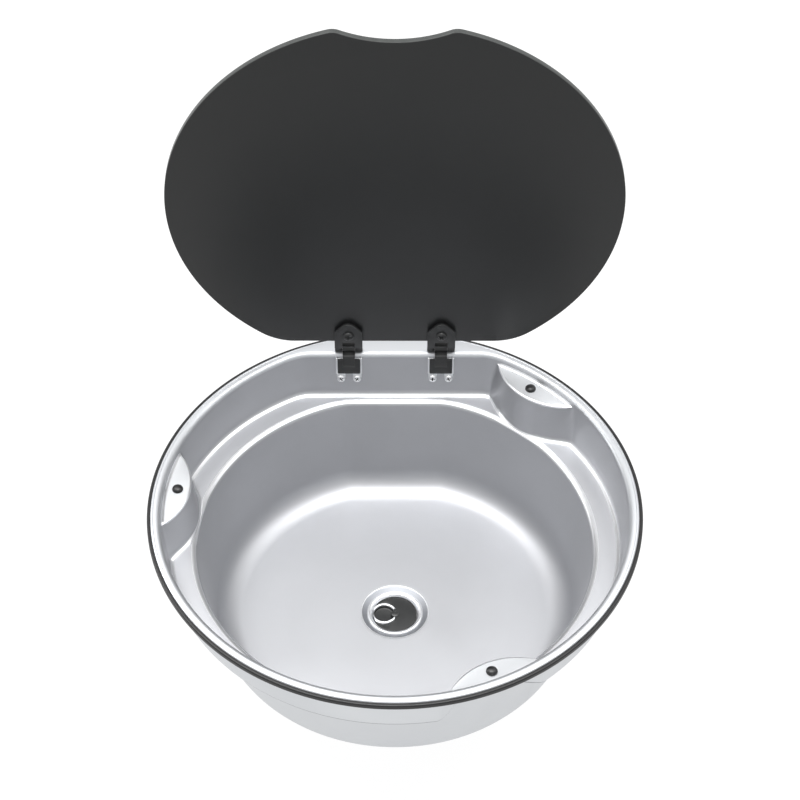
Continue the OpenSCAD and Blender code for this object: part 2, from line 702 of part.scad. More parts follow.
// Chrome rim round the finger pocket, open towards the plug's centre and trimmed to its disc
module plug_grip() {
    outer = grip_inner_r + grip_w;
    color("silver") intersection() {
        translate([-grip_x, 0, plug_top]) rotate([0, 0, grip_gap_angle])
            rotate_extrude(angle = 360 - 2 * grip_gap_angle) polygon(concat(
                [[grip_inner_r, 0], [outer, 0], [outer, grip_h - 0.7]],
                arc(outer - 0.7, grip_h - 0.7, 0.7, 0, 90, 3),
                arc(grip_inner_r + 0.7, grip_h - 0.7, 0.7, 90, 180, 3)));
        translate([0, 0, plug_top - 1]) cylinder(r = plug_r - 0.1, h = grip_h + 2);
    }
}

module plug_seal() {
    color("black") ring(16.3, plug_r - 0.3, plug_top - 4, 0.9);
}

basin();
rim_seal();
bumper(0);  // bumper_back
bumper(1);  // bumper_left
bumper(2);  // bumper_front
hinge_bracket(hinge_xs[0]);  // hinge_bracket_left
hinge_bracket(hinge_xs[1]);  // hinge_bracket_right
hinge_block(hinge_xs[0]);  // hinge_block_left
hinge_block(hinge_xs[1]);  // hinge_block_right
hinge_strap(hinge_xs[0]);  // hinge_strap_left
hinge_strap(hinge_xs[1]);  // hinge_strap_right
backing_plate(hinge_xs[0]);  // backing_plate_left
backing_plate(hinge_xs[1]);  // backing_plate_right
wall_screws();
lid_glass();
hinge_leaf(hinge_xs[0]);  // hinge_leaf_left
hinge_leaf(hinge_xs[1]);  // hinge_leaf_right
hinge_pin(hinge_xs[0]);  // hinge_pin_left
hinge_pin(hinge_xs[1]);  // hinge_pin_right
leaf_gasket(hinge_xs[0]);  // leaf_gasket_left
leaf_gasket(hinge_xs[1]);  // leaf_gasket_right
lid_cap(hinge_xs[0]);  // lid_cap_left
lid_cap(hinge_xs[1]);  // lid_cap_right
cap_seals();
lid_screws();
waste_flange();
waste_top_seal();
waste_lower_seal();
waste_nut();
waste_tail();
tail_seal();
union_nut();
plug_disc();
plug_grip();
plug_seal();
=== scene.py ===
"""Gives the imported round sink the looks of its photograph.

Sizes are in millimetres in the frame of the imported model: the origin lies on the worktop in the
middle of the cut-out, +Z is up and +Y points to the hinges. The glass lid stands open at rest.
"""
import logging
import math
from dataclasses import dataclass, field
from enum import Enum

import bmesh
import bpy
from mathutils import Euler, Matrix, Vector


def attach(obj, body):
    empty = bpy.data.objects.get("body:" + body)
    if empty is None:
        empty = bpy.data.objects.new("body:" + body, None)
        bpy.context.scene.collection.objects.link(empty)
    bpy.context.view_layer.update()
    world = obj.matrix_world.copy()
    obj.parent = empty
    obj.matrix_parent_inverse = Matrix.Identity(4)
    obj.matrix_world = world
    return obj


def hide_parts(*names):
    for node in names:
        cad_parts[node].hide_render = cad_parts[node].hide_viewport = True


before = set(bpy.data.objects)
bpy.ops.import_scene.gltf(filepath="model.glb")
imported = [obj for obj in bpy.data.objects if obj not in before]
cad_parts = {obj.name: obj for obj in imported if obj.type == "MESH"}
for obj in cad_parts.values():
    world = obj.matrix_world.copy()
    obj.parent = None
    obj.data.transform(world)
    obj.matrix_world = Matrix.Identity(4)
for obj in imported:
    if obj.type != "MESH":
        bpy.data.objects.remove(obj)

LOG = logging.getLogger("round_sink")
MM = 0.001
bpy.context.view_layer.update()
Profile = list[tuple[float, float]]
Piece = bpy.types.Object
Paint = bpy.types.Material
Tree = bpy.types.NodeTree
Node = bpy.types.Node
Socket = bpy.types.NodeSocket

# Heights above the worktop
RIM_TOP = 5.5
PAD_TOP = -2.0
FLOOR = -137.8
SEAT = -140.4

# Directions of the pads in degrees, the flat back wall and the hinges
PADS = (50.0, 172.5, 294.5)
WALL_Y = 179.3
WALL_DRAFT = 4.8
WALL_BEND = 3.5
HINGE_XS = (-41.3, 41.3)
KNUCKLE_R = 2.6
PIVOT = Vector((0.0, 184.1, 8.4))
OPEN_ANGLE = -88.8
OPENED = (Matrix.Translation(PIVOT) @ Matrix.Rotation(math.radians(OPEN_ANGLE), 4, "X")
          @ Matrix.Translation(-PIVOT))
UPRIGHT = Matrix.Rotation(math.pi / 2, 4, "X")


# Helpers


def spread(start: float, end: float, steps: int) -> list[float]:
    """Evenly spaced values from start to end, one more than there are steps."""
    return [start + (end - start) * i / steps for i in range(steps + 1)]


def arc(cx: float, cy: float, r: float, start: float, end: float, steps: int) -> Profile:
    """Points on an arc.

    Args:
        cx, cy: Centre of the arc.
        r: Radius.
        start, end: Angles in degrees.
        steps: Number of straight steps.

    Returns:
        steps + 1 points from start to end.
    """
    turn = [math.radians(angle) for angle in spread(start, end, steps)]
    return [(cx + r * math.cos(a), cy + r * math.sin(a)) for a in turn]


def drawn_in(outline: Profile, distance: float) -> Profile:
    """Moves a closed outline inwards.

    Args:
        outline: Corner points, anticlockwise.
        distance: How far every side moves in.

    Returns:
        The new corner points, as many as before.
    """
    moved = []
    for i, here in enumerate(outline):
        sides = []
        for a, b in ((outline[i - 1], here), (here, outline[(i + 1) % len(outline)])):
            along = Vector((b[0] - a[0], b[1] - a[1])).normalized()
            sides.append(Vector((-along.y, along.x)))
        bisector = sides[0] + sides[1]
        point = Vector(here) + bisector * (distance / max(0.25, 1 + sides[0].dot(sides[1])))
        moved.append((point.x, point.y))
    return moved


def rounded_box(w: float, h: float, r: float, cx: float = 0.0, cy: float = 0.0) -> Profile:
    """Outline of a rectangle with rounded corners.

    Args:
        w, h: Width and height.
        r: Corner radius.
        cx, cy: Centre.

    Returns:
        Corner points, anticlockwise.
    """
    outline: Profile = []
    for i, (sx, sy) in enumerate(((1, 1), (-1, 1), (-1, -1), (1, -1))):
        outline += arc(cx + sx * (w / 2 - r), cy + sy * (h / 2 - r), r, 90 * i, 90 * i + 90, 4)
    return outline


def on_wall(x: float) -> Matrix:
    """Place on the flat back wall: x along it, -y out of it, z up it from its top."""
    lean = math.radians(WALL_DRAFT)
    top = Matrix.Translation((x, WALL_Y, RIM_TOP - WALL_BEND * (1 - math.sin(lean))))
    return top @ Matrix.Rotation(-lean, 4, "X")


def sideways(x: float) -> Matrix:
    """Place for a side view drawn as (y, z), its thickness running along X from x."""
    return Matrix(((0, 0, 1, x), (1, 0, 0, 0), (0, 1, 0, 0), (0, 0, 0, 1)))


def pointing(angle: float) -> Vector:
    """Unit direction in the plane at an angle in degrees."""
    return Vector((math.cos(math.radians(angle)), math.sin(math.radians(angle))))


def nut_side(outer: float, low: float, high: float) -> Profile:
    """Outer side of a nut from its low to its high face, with rounded edges."""
    edge = 0.6
    return arc(outer - edge, low + edge, edge, -90, 0, 4) + arc(outer - edge, high - edge, edge, 0, 90, 4)


def linear(colour: str) -> tuple[float, float, float, float]:
    """Turns an sRGB hex colour into linear red, green, blue and alpha."""
    parts = [int(colour[i:i + 2], 16) / 255 for i in (1, 3, 5)]
    return (*[c / 12.92 if c <= 0.04045 else ((c + 0.055) / 1.055) ** 2.4 for c in parts], 1.0)


def add_node(tree: Tree, kind: str, values: dict | None = None,
             links: dict | None = None, **settings: object) -> Node:
    """Adds a node to a tree.

    Args:
        tree: Node tree that gets the node.
        kind: Type name of the node.
        values: Values by input socket.
        links: Other nodes, for their first output, or output sockets, by input socket.
        settings: The node's own settings.

    Returns:
        The new node.
    """
    node = tree.nodes.new(kind)
    for name, value in settings.items():
        setattr(node, name, value)
    for key, value in (values or {}).items():
        node.inputs[key].default_value = value
    for key, source in (links or {}).items():
        tree.links.new(source.outputs[0] if isinstance(source, Node) else source, node.inputs[key])
    return node


def emptied(owner: Paint | bpy.types.World) -> Tree:
    """Empty node tree of a material or of the surroundings."""
    owner.use_nodes = True
    owner.node_tree.nodes.clear()
    return owner.node_tree


def added(name: str, data: bpy.types.ID) -> Piece:
    """Adds an object to the scene."""
    piece = bpy.data.objects.new(name, data)
    bpy.context.scene.collection.objects.link(piece)
    return piece


class Shell:
    """The surface of a piece while it is made, in millimetres."""

    def __init__(self) -> None:
        self.mesh = bmesh.new()

    def loft(self, rings: list[list[Vector]], place: Matrix = Matrix(), capped: bool = True,
             ring_closed: bool = True, bands: dict[int, int] | None = None) -> None:
        """Joins rings of points with quads.

        Args:
            rings: Rows of points, all of one length.
            place: Where the rows go.
            capped: Whether the first and last rows get a face.
            ring_closed: Whether the last row joins the first one.
            bands: Index of the material, where it isn't 0, by the number of the row that a band starts from.
        """
        rows = [[self.mesh.verts.new(place @ p) for p in ring] for ring in rings]
        pairs = list(zip(rows, rows[1:]))
        if ring_closed and not capped:
            pairs.append((rows[-1], rows[0]))
        for band, (low, high) in enumerate(pairs):
            for i in range(len(low)):
                j = (i + 1) % len(low)
                face = self.mesh.faces.new((low[i], low[j], high[j], high[i]))
                face.material_index = (bands or {}).get(band, 0)
        if capped:
            for end in (rows[0][::-1], rows[-1]):
                self.mesh.faces.new(end)

    def revolve(self, profile: Profile, steps: int = 96, place: Matrix = Matrix(),
                open_ends: bool = False) -> None:
        """Turns a profile of (radius, height) round the Z axis.

        Args:
            profile: Points in order. They make a closed ring unless open_ends is set.
            steps: Number of steps round the axis.
            place: Where the turned body goes.
            open_ends: Set where the profile starts and ends on the axis.
        """
        turn = spread(0, 2 * math.pi, steps)[:-1]
        rings = [[Vector((r * math.cos(a), r * math.sin(a), z)) for a in turn] for r, z in profile]
        self.loft(rings, place, capped=False, ring_closed=not open_ends)

    def slab(self, outline: Profile, low: float, high: float, edge: float,
             place: Matrix = Matrix(), side: int = 0, steps: int = 3) -> None:
        """Flat plate with rounded edges.

        Args:
            outline: Corner points, anticlockwise.
            low, high: Heights of its two faces.
            edge: Radius of its edges.
            place: Where the plate goes.
            side: Index of the material of its narrow sides.
            steps: Steps in each rounded edge.
        """
        start = len(self.mesh.faces)
        rows = [(edge * (1 - math.sin(a)), edge * (1 - math.cos(a))) for a in spread(0, math.pi / 2, steps)]
        levels = [(inset, low + rise) for inset, rise in rows]
        levels += [(inset, high - rise) for inset, rise in reversed(rows)]
        self.loft([[Vector((x, y, z)) for x, y in drawn_in(outline, inset)] for inset, z in levels], place)
        self.mesh.faces.ensure_lookup_table()
        for face in self.mesh.faces[start:-2]:
            face.material_index = side

    def finished(self, name: str, *paints: Paint, sharp: float = 40.0, outwards: bool = True) -> Piece:
        """Makes the object, in metres and at the origin.

        Args:
            name: Name of the piece.
            paints: Its materials.
            sharp: Angle in degrees past which an edge stays sharp.
            outwards: Whether the faces are turned outwards first.

        Returns:
            The new object.
        """
        bmesh.ops.remove_doubles(self.mesh, verts=self.mesh.verts, dist=0.004)
        if outwards:
            bmesh.ops.recalc_face_normals(self.mesh, faces=self.mesh.faces)
        for edge in self.mesh.edges:
            edge.smooth = len(edge.link_faces) < 2 or edge.calc_face_angle(0.0) < math.radians(sharp)
        for face in self.mesh.faces:
            face.smooth = True
        bmesh.ops.scale(self.mesh, vec=(MM, MM, MM), verts=self.mesh.verts)
        data = bpy.data.meshes.new(name)
        self.mesh.to_mesh(data)
        self.mesh.free()
        for paint in paints:
            data.materials.append(paint)
        return added(name, data)


def settled(piece: Piece) -> Piece:
    """Applies a piece's modifiers and removes them.

    Args:
        piece: Object with modifiers.

    Returns:
        The same object with a plain mesh.
    """
    graph = bpy.context.evaluated_depsgraph_get()
    data = bpy.data.meshes.new_from_object(piece.evaluated_get(graph), depsgraph=graph)
    piece.modifiers.clear()
    piece.data = data
    return piece


def carved(piece: Piece, cutter: Piece, crossed: bool = False) -> Piece:
    """Takes the form of one piece out of another.

    Args:
        piece: The piece that is cut.
        cutter: The form to take out, which is removed afterwards.
        crossed: Whether the cutter's own parts cross each other.

    Returns:
        The piece that was cut.
    """
    cut = piece.modifiers.new("cut", "BOOLEAN")
    cut.operation, cut.solver, cut.object, cut.use_self = "DIFFERENCE", "EXACT", cutter, crossed
    settled(piece)
    bpy.data.objects.remove(cutter)
    return piece


def dressed(node: str, finish: Paint) -> None:
    """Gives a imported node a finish, its mesh left as it is."""
    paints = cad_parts[node].data.materials
    paints.clear()
    paints.append(finish)


# Finishes


class Pattern(Enum):
    """How a surface was worked."""

    GRAIN = "grain"
    RINGS = "rings"
    LINES = "lines"


@dataclass(frozen=True)
class Finish:
    """A solid surface with patches of tone, a worked pattern and fine relief."""

    name: str
    colour: str
    patches: str
    metallic: float
    rough: tuple[float, float]
    pattern: Pattern
    pitch_mm: float
    relief_mm: float
    patch_mm: float = 45.0
    specular: float = 0.5

    def pattern_height(self, tree: Tree, place: Socket) -> Node:
        """Builds the worked pattern.

        Args:
            tree: The material's node tree.
            place: Object coordinates in metres.

        Returns:
            The node that gives the pattern's height from 0 to 1.
        """
        values = {"Scale": 1 / (self.pitch_mm * MM), "Detail": 2.0}
        if self.pattern is Pattern.GRAIN:
            values |= {"Detail": 3.0, "Roughness": 0.55}
        elif self.pattern is Pattern.LINES:
            place = add_node(tree, "ShaderNodeMapping", {"Scale": (0.03, 1.0, 1.0)}, {"Vector": place})
        else:
            values["Roughness"] = 0.6
            split = add_node(tree, "ShaderNodeSeparateXYZ", links={"Vector": place}).outputs
            flat = add_node(tree, "ShaderNodeCombineXYZ", links={"X": split["X"], "Y": split["Y"]})
            away = add_node(tree, "ShaderNodeVectorMath", links={0: flat}, operation="LENGTH").outputs
            place = add_node(tree, "ShaderNodeCombineXYZ", links={"X": away["Value"], "Y": split["Z"]})
        return add_node(tree, "ShaderNodeTexNoise", values, {"Vector": place})

    def make(self) -> Paint:
        """Builds the material.

        Returns:
            The material, with its nodes.
        """
        material = bpy.data.materials.new(self.name)
        tree = emptied(material)
        place = add_node(tree, "ShaderNodeTexCoord").outputs["Object"]
        height = self.pattern_height(tree, place)
        cloud = add_node(tree, "ShaderNodeTexNoise", {"Scale": 1 / (self.patch_mm * MM), "Detail": 4.0},
                         {"Vector": place})
        tone = add_node(tree, "ShaderNodeMix", {6: linear(self.colour), 7: linear(self.patches)},
                        {0: cloud}, data_type="RGBA")
        both = add_node(tree, "ShaderNodeMath", {1: 0.6}, {0: height, 2: cloud}, operation="MULTIPLY_ADD")
        low, high = self.rough
        rough = add_node(tree, "ShaderNodeMapRange",
                         {"From Min": 0.45, "From Max": 1.15, "To Min": low, "To Max": high}, {"Value": both})
        bump = add_node(tree, "ShaderNodeBump", {"Strength": 0.5, "Distance": self.relief_mm * MM},
                        {"Height": height})
        shader = add_node(tree, "ShaderNodeBsdfPrincipled", {"Metallic": self.metallic},
                          {"Base Color": tone.outputs[2], "Roughness": rough, "Normal": bump})
        if self.metallic < 0.5:
            shader.inputs["Specular IOR Level"].default_value = self.specular
        add_node(tree, "ShaderNodeOutputMaterial", links={"Surface": shader})
        return material


class Finishes:
    """Every surface of the sink."""

    def __init__(self) -> None:
        # Deep-drawn stainless, satin finished: soft grey sheen with hair-fine rings from polishing. The
        # real scratches are under 0.1 mm, drawn here 0.9 mm apart so that they show at all.
        self.satin = Finish("satin_stainless", "#b6b7ba", "#afb0b3", 1.0, (0.44, 0.52),
                            Pattern.RINGS, 0.9, 0.003, 70.0).make()
        # Pads of the same sheet, painted brighter and as soft: painted light on their flat tops.
        self.pad = Finish("pad_painted_light_stainless", "#d6d8da", "#d0d2d5", 1.0, (0.4, 0.48),
                          Pattern.RINGS, 0.9, 0.003, 70.0).make()
        # Rim, rolled and brushed along its round, painted a shade brighter than the bowl: painted light on
        # its flat top, a shade greyer than the pads.
        self.rim = Finish("rim_painted_light_stainless", "#c6c8cb", "#c1c3c6", 1.0, (0.4, 0.48),
                          Pattern.RINGS, 0.9, 0.003, 70.0).make()
        # Tight bends, a little smoother and painted near-white: painted highlights, bright lines along every
        # edge.
        self.bend = Finish("bend_painted_highlight_stainless", "#eff0f2", "#e8e9ec", 1.0, (0.32, 0.4),
                           Pattern.RINGS, 0.9, 0.002, 50.0).make()
        # Step round the drain and the underside's bends, a little rougher and painted darker: painted shade.
        self.drawn = Finish("painted_shade_stainless", "#8d8f93", "#86888c", 1.0, (0.46, 0.54),
                            Pattern.RINGS, 0.9, 0.003, 50.0).make()
        # Underside of the same sheet as it comes from the mill: brighter and smoother, no polishing rings.
        self.mill = Finish("mill_finished_stainless", "#d2d4d6", "#cacccf", 1.0, (0.4, 0.5),
                           Pattern.GRAIN, 1.4, 0.002, 80.0).make()
        # Polished stainless: bright, with a soft mirror and faint buffing lines.
        self.polished = Finish("polished_stainless", "#ecedee", "#e3e4e6", 1.0, (0.3, 0.38),
                               Pattern.LINES, 0.5, 0.002, 6.0).make()
        # Plain zinc-grey steel of hidden plates and pins: dull, slightly blotchy.
        self.plain = Finish("plain_steel", "#b4b6b8", "#a3a5a8", 1.0, (0.3, 0.45),
                            Pattern.GRAIN, 0.7, 0.004, 9.0).make()
        # Painted shade in the screws' cross recesses: near-black steel for the shade that fills them.
        self.painted_recess_shade = Finish("painted_recess_shade_steel", "#1c1c1d", "#242425", 1.0, (0.5, 0.6),
                               Pattern.GRAIN, 0.5, 0.002, 4.0).make()
        # Chrome plate on brass, satin: bright and a little soft, with a cool tone.
        self.chrome = Finish("satin_chrome_plate", "#f0f1f2", "#e9eaec", 1.0, (0.3, 0.38),
                             Pattern.RINGS, 0.5, 0.001, 12.0).make()
        # Black powder coat on steel: semi-gloss, a fine orange peel about 0.8 mm across.
        self.black_coat = Finish("black_powder_coat", "#1d1e1e", "#262727", 0.0, (0.34, 0.46),
                                 Pattern.GRAIN, 0.8, 0.02, 8.0).make()
        # Moulded EPDM rubber: soft dull black with a broad sheen.
        self.rubber = Finish("moulded_rubber", "#0c0c0d", "#121213", 0.0, (0.34, 0.44),
                             Pattern.GRAIN, 1.1, 0.02, 10.0, specular=0.4).make()
        # Tinted toughened glass, backed nearly opaque: deep neutral grey, smooth, with a soft mirror.
        self.glass = Finish("tinted_toughened_glass", "#131414", "#171818", 0.0, (0.36, 0.42),
                            Pattern.GRAIN, 60.0, 0.01, 160.0, specular=0.36).make()
        # Ground edge of the glass: a frosted band, a little paler than the face.
        self.ground_edge = Finish("ground_glass_edge", "#2b2d2c", "#353736", 0.0, (0.28, 0.4),
                                  Pattern.GRAIN, 0.6, 0.01, 5.0).make()
        # Moulded ABS of the plug: dark grey satin, fine spark-eroded texture.
        self.plug_plastic = Finish("moulded_abs", "#1b1c1c", "#202121", 0.0, (0.36, 0.46),
                                   Pattern.GRAIN, 0.5, 0.01, 7.0).make()
        # Moulded polypropylene of nut and hose tail: dark, waxy, with flow patches.
        self.waste_plastic = Finish("moulded_polypropylene", "#2b2c2e", "#333436", 0.0, (0.34, 0.5),
                                    Pattern.GRAIN, 0.9, 0.015, 14.0).make()


# Repeated pieces


class CopyRule(Enum):
    """How copies are set out."""

    ON_POINTS = "on points"
    ON_RING = "on a ring"


@dataclass
class Copies:
    """Copies of one small piece, set out by Geometry Nodes."""

    name: str
    rule: CopyRule
    seats: list[tuple[Vector, Euler]] = field(default_factory=list)
    count: int = 0
    radius: float = 0.0
    height: float = 0.0

    def tree(self) -> Tree:
        """Builds the node tree that sets out the copies.

        Returns:
            The tree, with named inputs for the template, the sizes and the finish.
        """
        tree = bpy.data.node_groups.new(self.name + "_rule", "GeometryNodeTree")
        face = tree.interface
        face.new_socket(name="Geometry", in_out="OUTPUT", socket_type="NodeSocketGeometry")
        for name, kind in (("Geometry", "Geometry"), ("Template", "Object"), ("Count", "Int"),
                           ("Ring radius", "Float"), ("Ring height", "Float"), ("Finish", "Material")):
            face.new_socket(name=name, in_out="INPUT", socket_type="NodeSocket" + kind)
        given = add_node(tree, "NodeGroupInput").outputs
        shape = add_node(tree, "GeometryNodeObjectInfo", links={"Object": given["Template"]})
        if self.rule is CopyRule.ON_RING:
            spots = add_node(tree, "GeometryNodeMeshCircle",
                             links={"Vertices": given["Count"], "Radius": given["Ring radius"]})
            turn = add_node(tree, "FunctionNodeAlignRotationToVector",
                            links={"Vector": add_node(tree, "GeometryNodeInputPosition")},
                            axis="X", pivot_axis="Z")
        else:
            spots = given["Geometry"]
            lean = add_node(tree, "GeometryNodeInputNamedAttribute", {"Name": "lean"},
                            data_type="FLOAT_VECTOR")
            turn = add_node(tree, "FunctionNodeEulerToRotation", links={"Euler": lean.outputs["Attribute"]})
        copies = add_node(tree, "GeometryNodeInstanceOnPoints",
                          links={"Points": spots, "Instance": shape.outputs["Geometry"], "Rotation": turn})
        lift = add_node(tree, "ShaderNodeCombineXYZ", links={"Z": given["Ring height"]})
        raised = add_node(tree, "GeometryNodeTranslateInstances", {"Local Space": False},
                          {"Instances": copies, "Translation": lift})
        solid = add_node(tree, "GeometryNodeRealizeInstances", links={"Geometry": raised})
        done = add_node(tree, "GeometryNodeSetMaterial",
                        links={"Geometry": solid, "Material": given["Finish"]})
        add_node(tree, "NodeGroupOutput", links={"Geometry": done})
        return tree

    def make(self, template: Piece, finish: Paint) -> Piece:
        """Sets out the copies and joins them in one piece.

        Args:
            template: The small piece, which is removed afterwards.
            finish: Material of the copies.

        Returns:
            One object with all copies in its mesh.
        """
        data = bpy.data.meshes.new(self.name)
        data.from_pydata([seat * MM for seat, _ in self.seats] or [(0, 0, 0)], [], [])
        lean = data.attributes.new("lean", "FLOAT_VECTOR", "POINT")
        for i, (_, turn) in enumerate(self.seats):
            lean.data[i].vector = tuple(turn)
        piece = added(self.name, data)
        modifier = piece.modifiers.new("copies", "NODES")
        modifier.node_group = self.tree()
        sizes = {"Template": template, "Count": self.count, "Ring radius": self.radius * MM,
                 "Ring height": self.height * MM, "Finish": finish}
        for socket in modifier.node_group.interface.items_tree:
            if socket.in_out == "INPUT" and socket.name in sizes:
                modifier[socket.identifier] = sizes[socket.name]
        settled(piece)
        bpy.data.objects.remove(template)
        return piece


def pan_screw(name: str, r: float, head_r: float, head_h: float, length: float,
              finish: Paint) -> Piece:
    """Pan-head screw with a cross recess, its head's seat at the origin and its shank down.

    Args:
        name: Name of the piece.
        r, length: Radius and length of the shank.
        head_r, head_h: Radius and height of the head.
        finish: Its material.

    Returns:
        The screw.
    """
    low, edge, wide, deep = head_h * 0.35, 0.25, head_r * 0.65, head_r * 0.18
    dome = [(head_r * math.cos(a), low + (head_h - low) * math.sin(a)) for a in spread(0, math.pi / 2, 9)]
    head = Shell()
    head.revolve([(0, -length), (r - 0.4, -length), (r, 0.5 - length), (r, 0),
                  *arc(head_r - edge, edge, edge, -90, 0, 2), *dome], 40, open_ends=True)
    cross = Shell()
    for angle in (0.0, math.pi / 2):
        cross.loft([[Vector((x * wide * k, y * deep * k, z)) for x, y in ((-1, -1), (1, -1), (1, 1), (-1, 1))]
                    for k, z in ((0.7, head_h * 0.2), (1.0, head_h * 1.1))], Matrix.Rotation(angle, 4, "Z"))
    return carved(head.finished(name, finish), cross.finished(name + "_recess", finish), crossed=True)


# The sink's sub-assemblies


@dataclass
class Assembly:
    """Pieces of one body that are built together."""

    finishes: Finishes
    body: str = "basin_body"
    pieces: list[Piece] = field(default_factory=list)

    def mount(self, piece: Piece, slot: str, *nodes: str) -> None:
        """Ties a piece to the body and hides the nodes that it stands for.

        Args:
            piece: The finished piece.
            slot: Material slot of the record; not used.
            nodes: Names of the nodes that it replaces.
        """
        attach(piece, self.body)
        if nodes:
            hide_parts(*nodes)
        self.pieces.append(piece)


@dataclass
class Basin(Assembly):
    """The deep-drawn pressing: rolled rim, recess with three pads, ledge, bowl and floor."""

    flange_r: float = 207.0
    roll_r: float = 2.0
    sheet: float = 1.0
    crease_r: float = 204.5
    recess: tuple[float, float, float] = (198.2, WALL_Y, 40.0)
    rim_bend: float = 4.25
    ledge_z: float = -42.0
    ledge_fillet: float = 5.75
    bowl: tuple[float, float, float] = (169.5, 163.7, 50.0)
    bowl_draft: float = 9.5
    lip: float = 5.75
    floor_edge_z: float = -137.0
    floor_fillet: float = 23.75
    flat_r: float = 32.8
    dip_r: float = 28.8
    seat_r: float = 24.8
    hole_r: float = 22.0
    pad_centre: float = 236.0
    pad_r: float = 59.5
    pad_draft: float = 5.5
    pad_fillet: float = 2.5
    pad_edge: float = 2.0

    def spokes(self) -> list[float]:
        """Spreads the section lines, closer together beside the pads.

        Returns:
            Their directions in degrees.
        """
        angles, here = [], 0.0
        while here < 359.8:
            angles.append(here)
            off = min(abs((here + 0.1 - pad + 180) % 360 - 180) for pad in PADS)
            here += 0.25 if 10 < off < 14.6 else 0.45 if off < 16.5 else 0.9
        return angles

    def edge(self, angle: float, shape: tuple[float, float, float]) -> tuple[Vector, Vector]:
        """Point on a wall's top outline and the outline's outward direction there.

        Args:
            angle: Direction of the point in degrees.
            shape: Radius, distance of the flat back and radius of the corners beside it.

        Returns:
            The point and the unit direction.
        """
        r, back, corner = shape
        ray = pointing(angle)
        centre = Vector((math.sqrt((r - corner) ** 2 - (back - corner) ** 2), back - corner))
        if ray.y <= 0 or abs(ray.x) * centre.y >= ray.y * centre.x:
            return ray * r, ray
        if abs(ray.x) * back <= ray.y * centre.x:
            return ray * (back / ray.y), Vector((0.0, 1.0))
        centre.x = math.copysign(centre.x, ray.x)
        along = ray.dot(centre)
        point = ray * (along + math.sqrt(along ** 2 - centre.length_squared + corner ** 2))
        return point, (point - centre).normalized()

    def reach(self, point: Vector, out: Vector, z: float) -> float:
        """How far the recess's side lies in from its top, with the pads blended into the wall.

        Args:
            point, out: Place on the wall's top and the outward direction there.
            z: Height.

        Returns:
            The distance.
        """
        wall = self.wall(z)
        pads = -50.0
        r = self.pad_r + (PAD_TOP - z) * math.tan(math.radians(self.pad_draft))
        for pad in PADS:
            away = point - pointing(pad) * self.pad_centre
            inside = out.dot(away) ** 2 - away.length_squared + r * r
            if inside > 0 > out.dot(away):
                pads = max(pads, out.dot(away) + math.sqrt(inside))
        blend = min(11.0, 1.5 + 0.5 * (PAD_TOP - z))
        soft = max(blend - abs(wall - pads), 0.0) / blend
        return max(wall, pads) + soft * soft * blend / 4

    def wall(self, z: float) -> float:
        """How far the plain recess wall lies in from its top at height z."""
        draft = math.radians(WALL_DRAFT)
        return (RIM_TOP - self.rim_bend * (1 - math.sin(draft)) - z) * math.tan(draft)

    def section(self, angle: float) -> list[Vector]:
        """One line over the sheet's upper face, from the rolled edge to the drain hole.

        Args:
            angle: Direction of the line in degrees.

        Returns:
            Points in order, as many for every angle.
        """
        ray, quarter = pointing(angle), math.pi / 2
        draft, bowl_draft = math.radians(WALL_DRAFT), math.radians(self.bowl_draft)
        point, out = self.edge(angle, self.recess)
        bowl_point, bowl_out = self.edge(angle, self.bowl)
        line: list[Vector] = []

        def add(flat: Vector, z: float) -> None:
            """Adds the point at height z over a place in the plane."""
            line.append(Vector((flat.x, flat.y, z)))

        # Rolled edge, crease and rim
        for r, z in (*arc(self.flange_r - self.roll_r, RIM_TOP - self.roll_r, self.roll_r, 0, 90, 6),
                     (self.crease_r + 0.25, RIM_TOP - 0.05), (self.crease_r, RIM_TOP - 0.28),
                     (self.crease_r - 0.3, RIM_TOP - 0.05), (self.crease_r - 0.8, RIM_TOP)):
            add(ray * r, z)
        # Bend into the recess, its wall down to a pad, and the pad's fillet and edge
        for s, z in arc(self.rim_bend * math.cos(draft), RIM_TOP - self.rim_bend, self.rim_bend,
                        90, 180 - WALL_DRAFT, 7):
            add(point + out * s, z)
        top_in = self.wall(PAD_TOP)
        share = min(1.0, (self.reach(point, out, PAD_TOP) - top_in) / (self.pad_fillet + self.pad_edge))
        fillet, edge = self.pad_fillet * share, self.pad_edge * share
        for a in spread(0, quarter, 3):
            add(point - out * (top_in + fillet * (1 - math.cos(a))), PAD_TOP + fillet * (1 - math.sin(a)))
        foot = self.reach(point, out, PAD_TOP - edge)
        for a in spread(0, quarter, 4):
            add(point - out * (foot - edge * (1 - math.sin(a))), PAD_TOP - edge * (1 - math.cos(a)))
        # Lower wall, its fillet and the ledge, which turns less where it is narrow
        gap = (point - out * self.reach(point, out, self.ledge_z)).length - bowl_point.length
        turn = self.ledge_fillet
        start = math.asin(max(0.0, min(0.95, 1 - gap / (turn + self.lip))))
        base = self.ledge_z - (self.lip + turn) * (1 - math.cos(start))
        low = base + turn * (1 - math.sin(draft))
        for z in spread(PAD_TOP - edge, low, 5)[1:]:
            add(point - out * self.reach(point, out, z), z)
        foot = self.reach(point, out, low) + turn * math.cos(draft)
        for a in spread(draft, quarter - start, 6)[1:]:
            add(point - out * (foot - turn * math.cos(a)), base + turn * (1 - math.sin(a)))
        lip_in = self.lip * math.cos(bowl_draft)
        first = bowl_point + bowl_out * (lip_in - self.lip * math.sin(start))
        end = Vector((first.x, first.y, self.ledge_z - self.lip * (1 - math.cos(start))))
        last = line[-1].copy()
        line += [last.lerp(end, part) for part in (1 / 3, 2 / 3)]
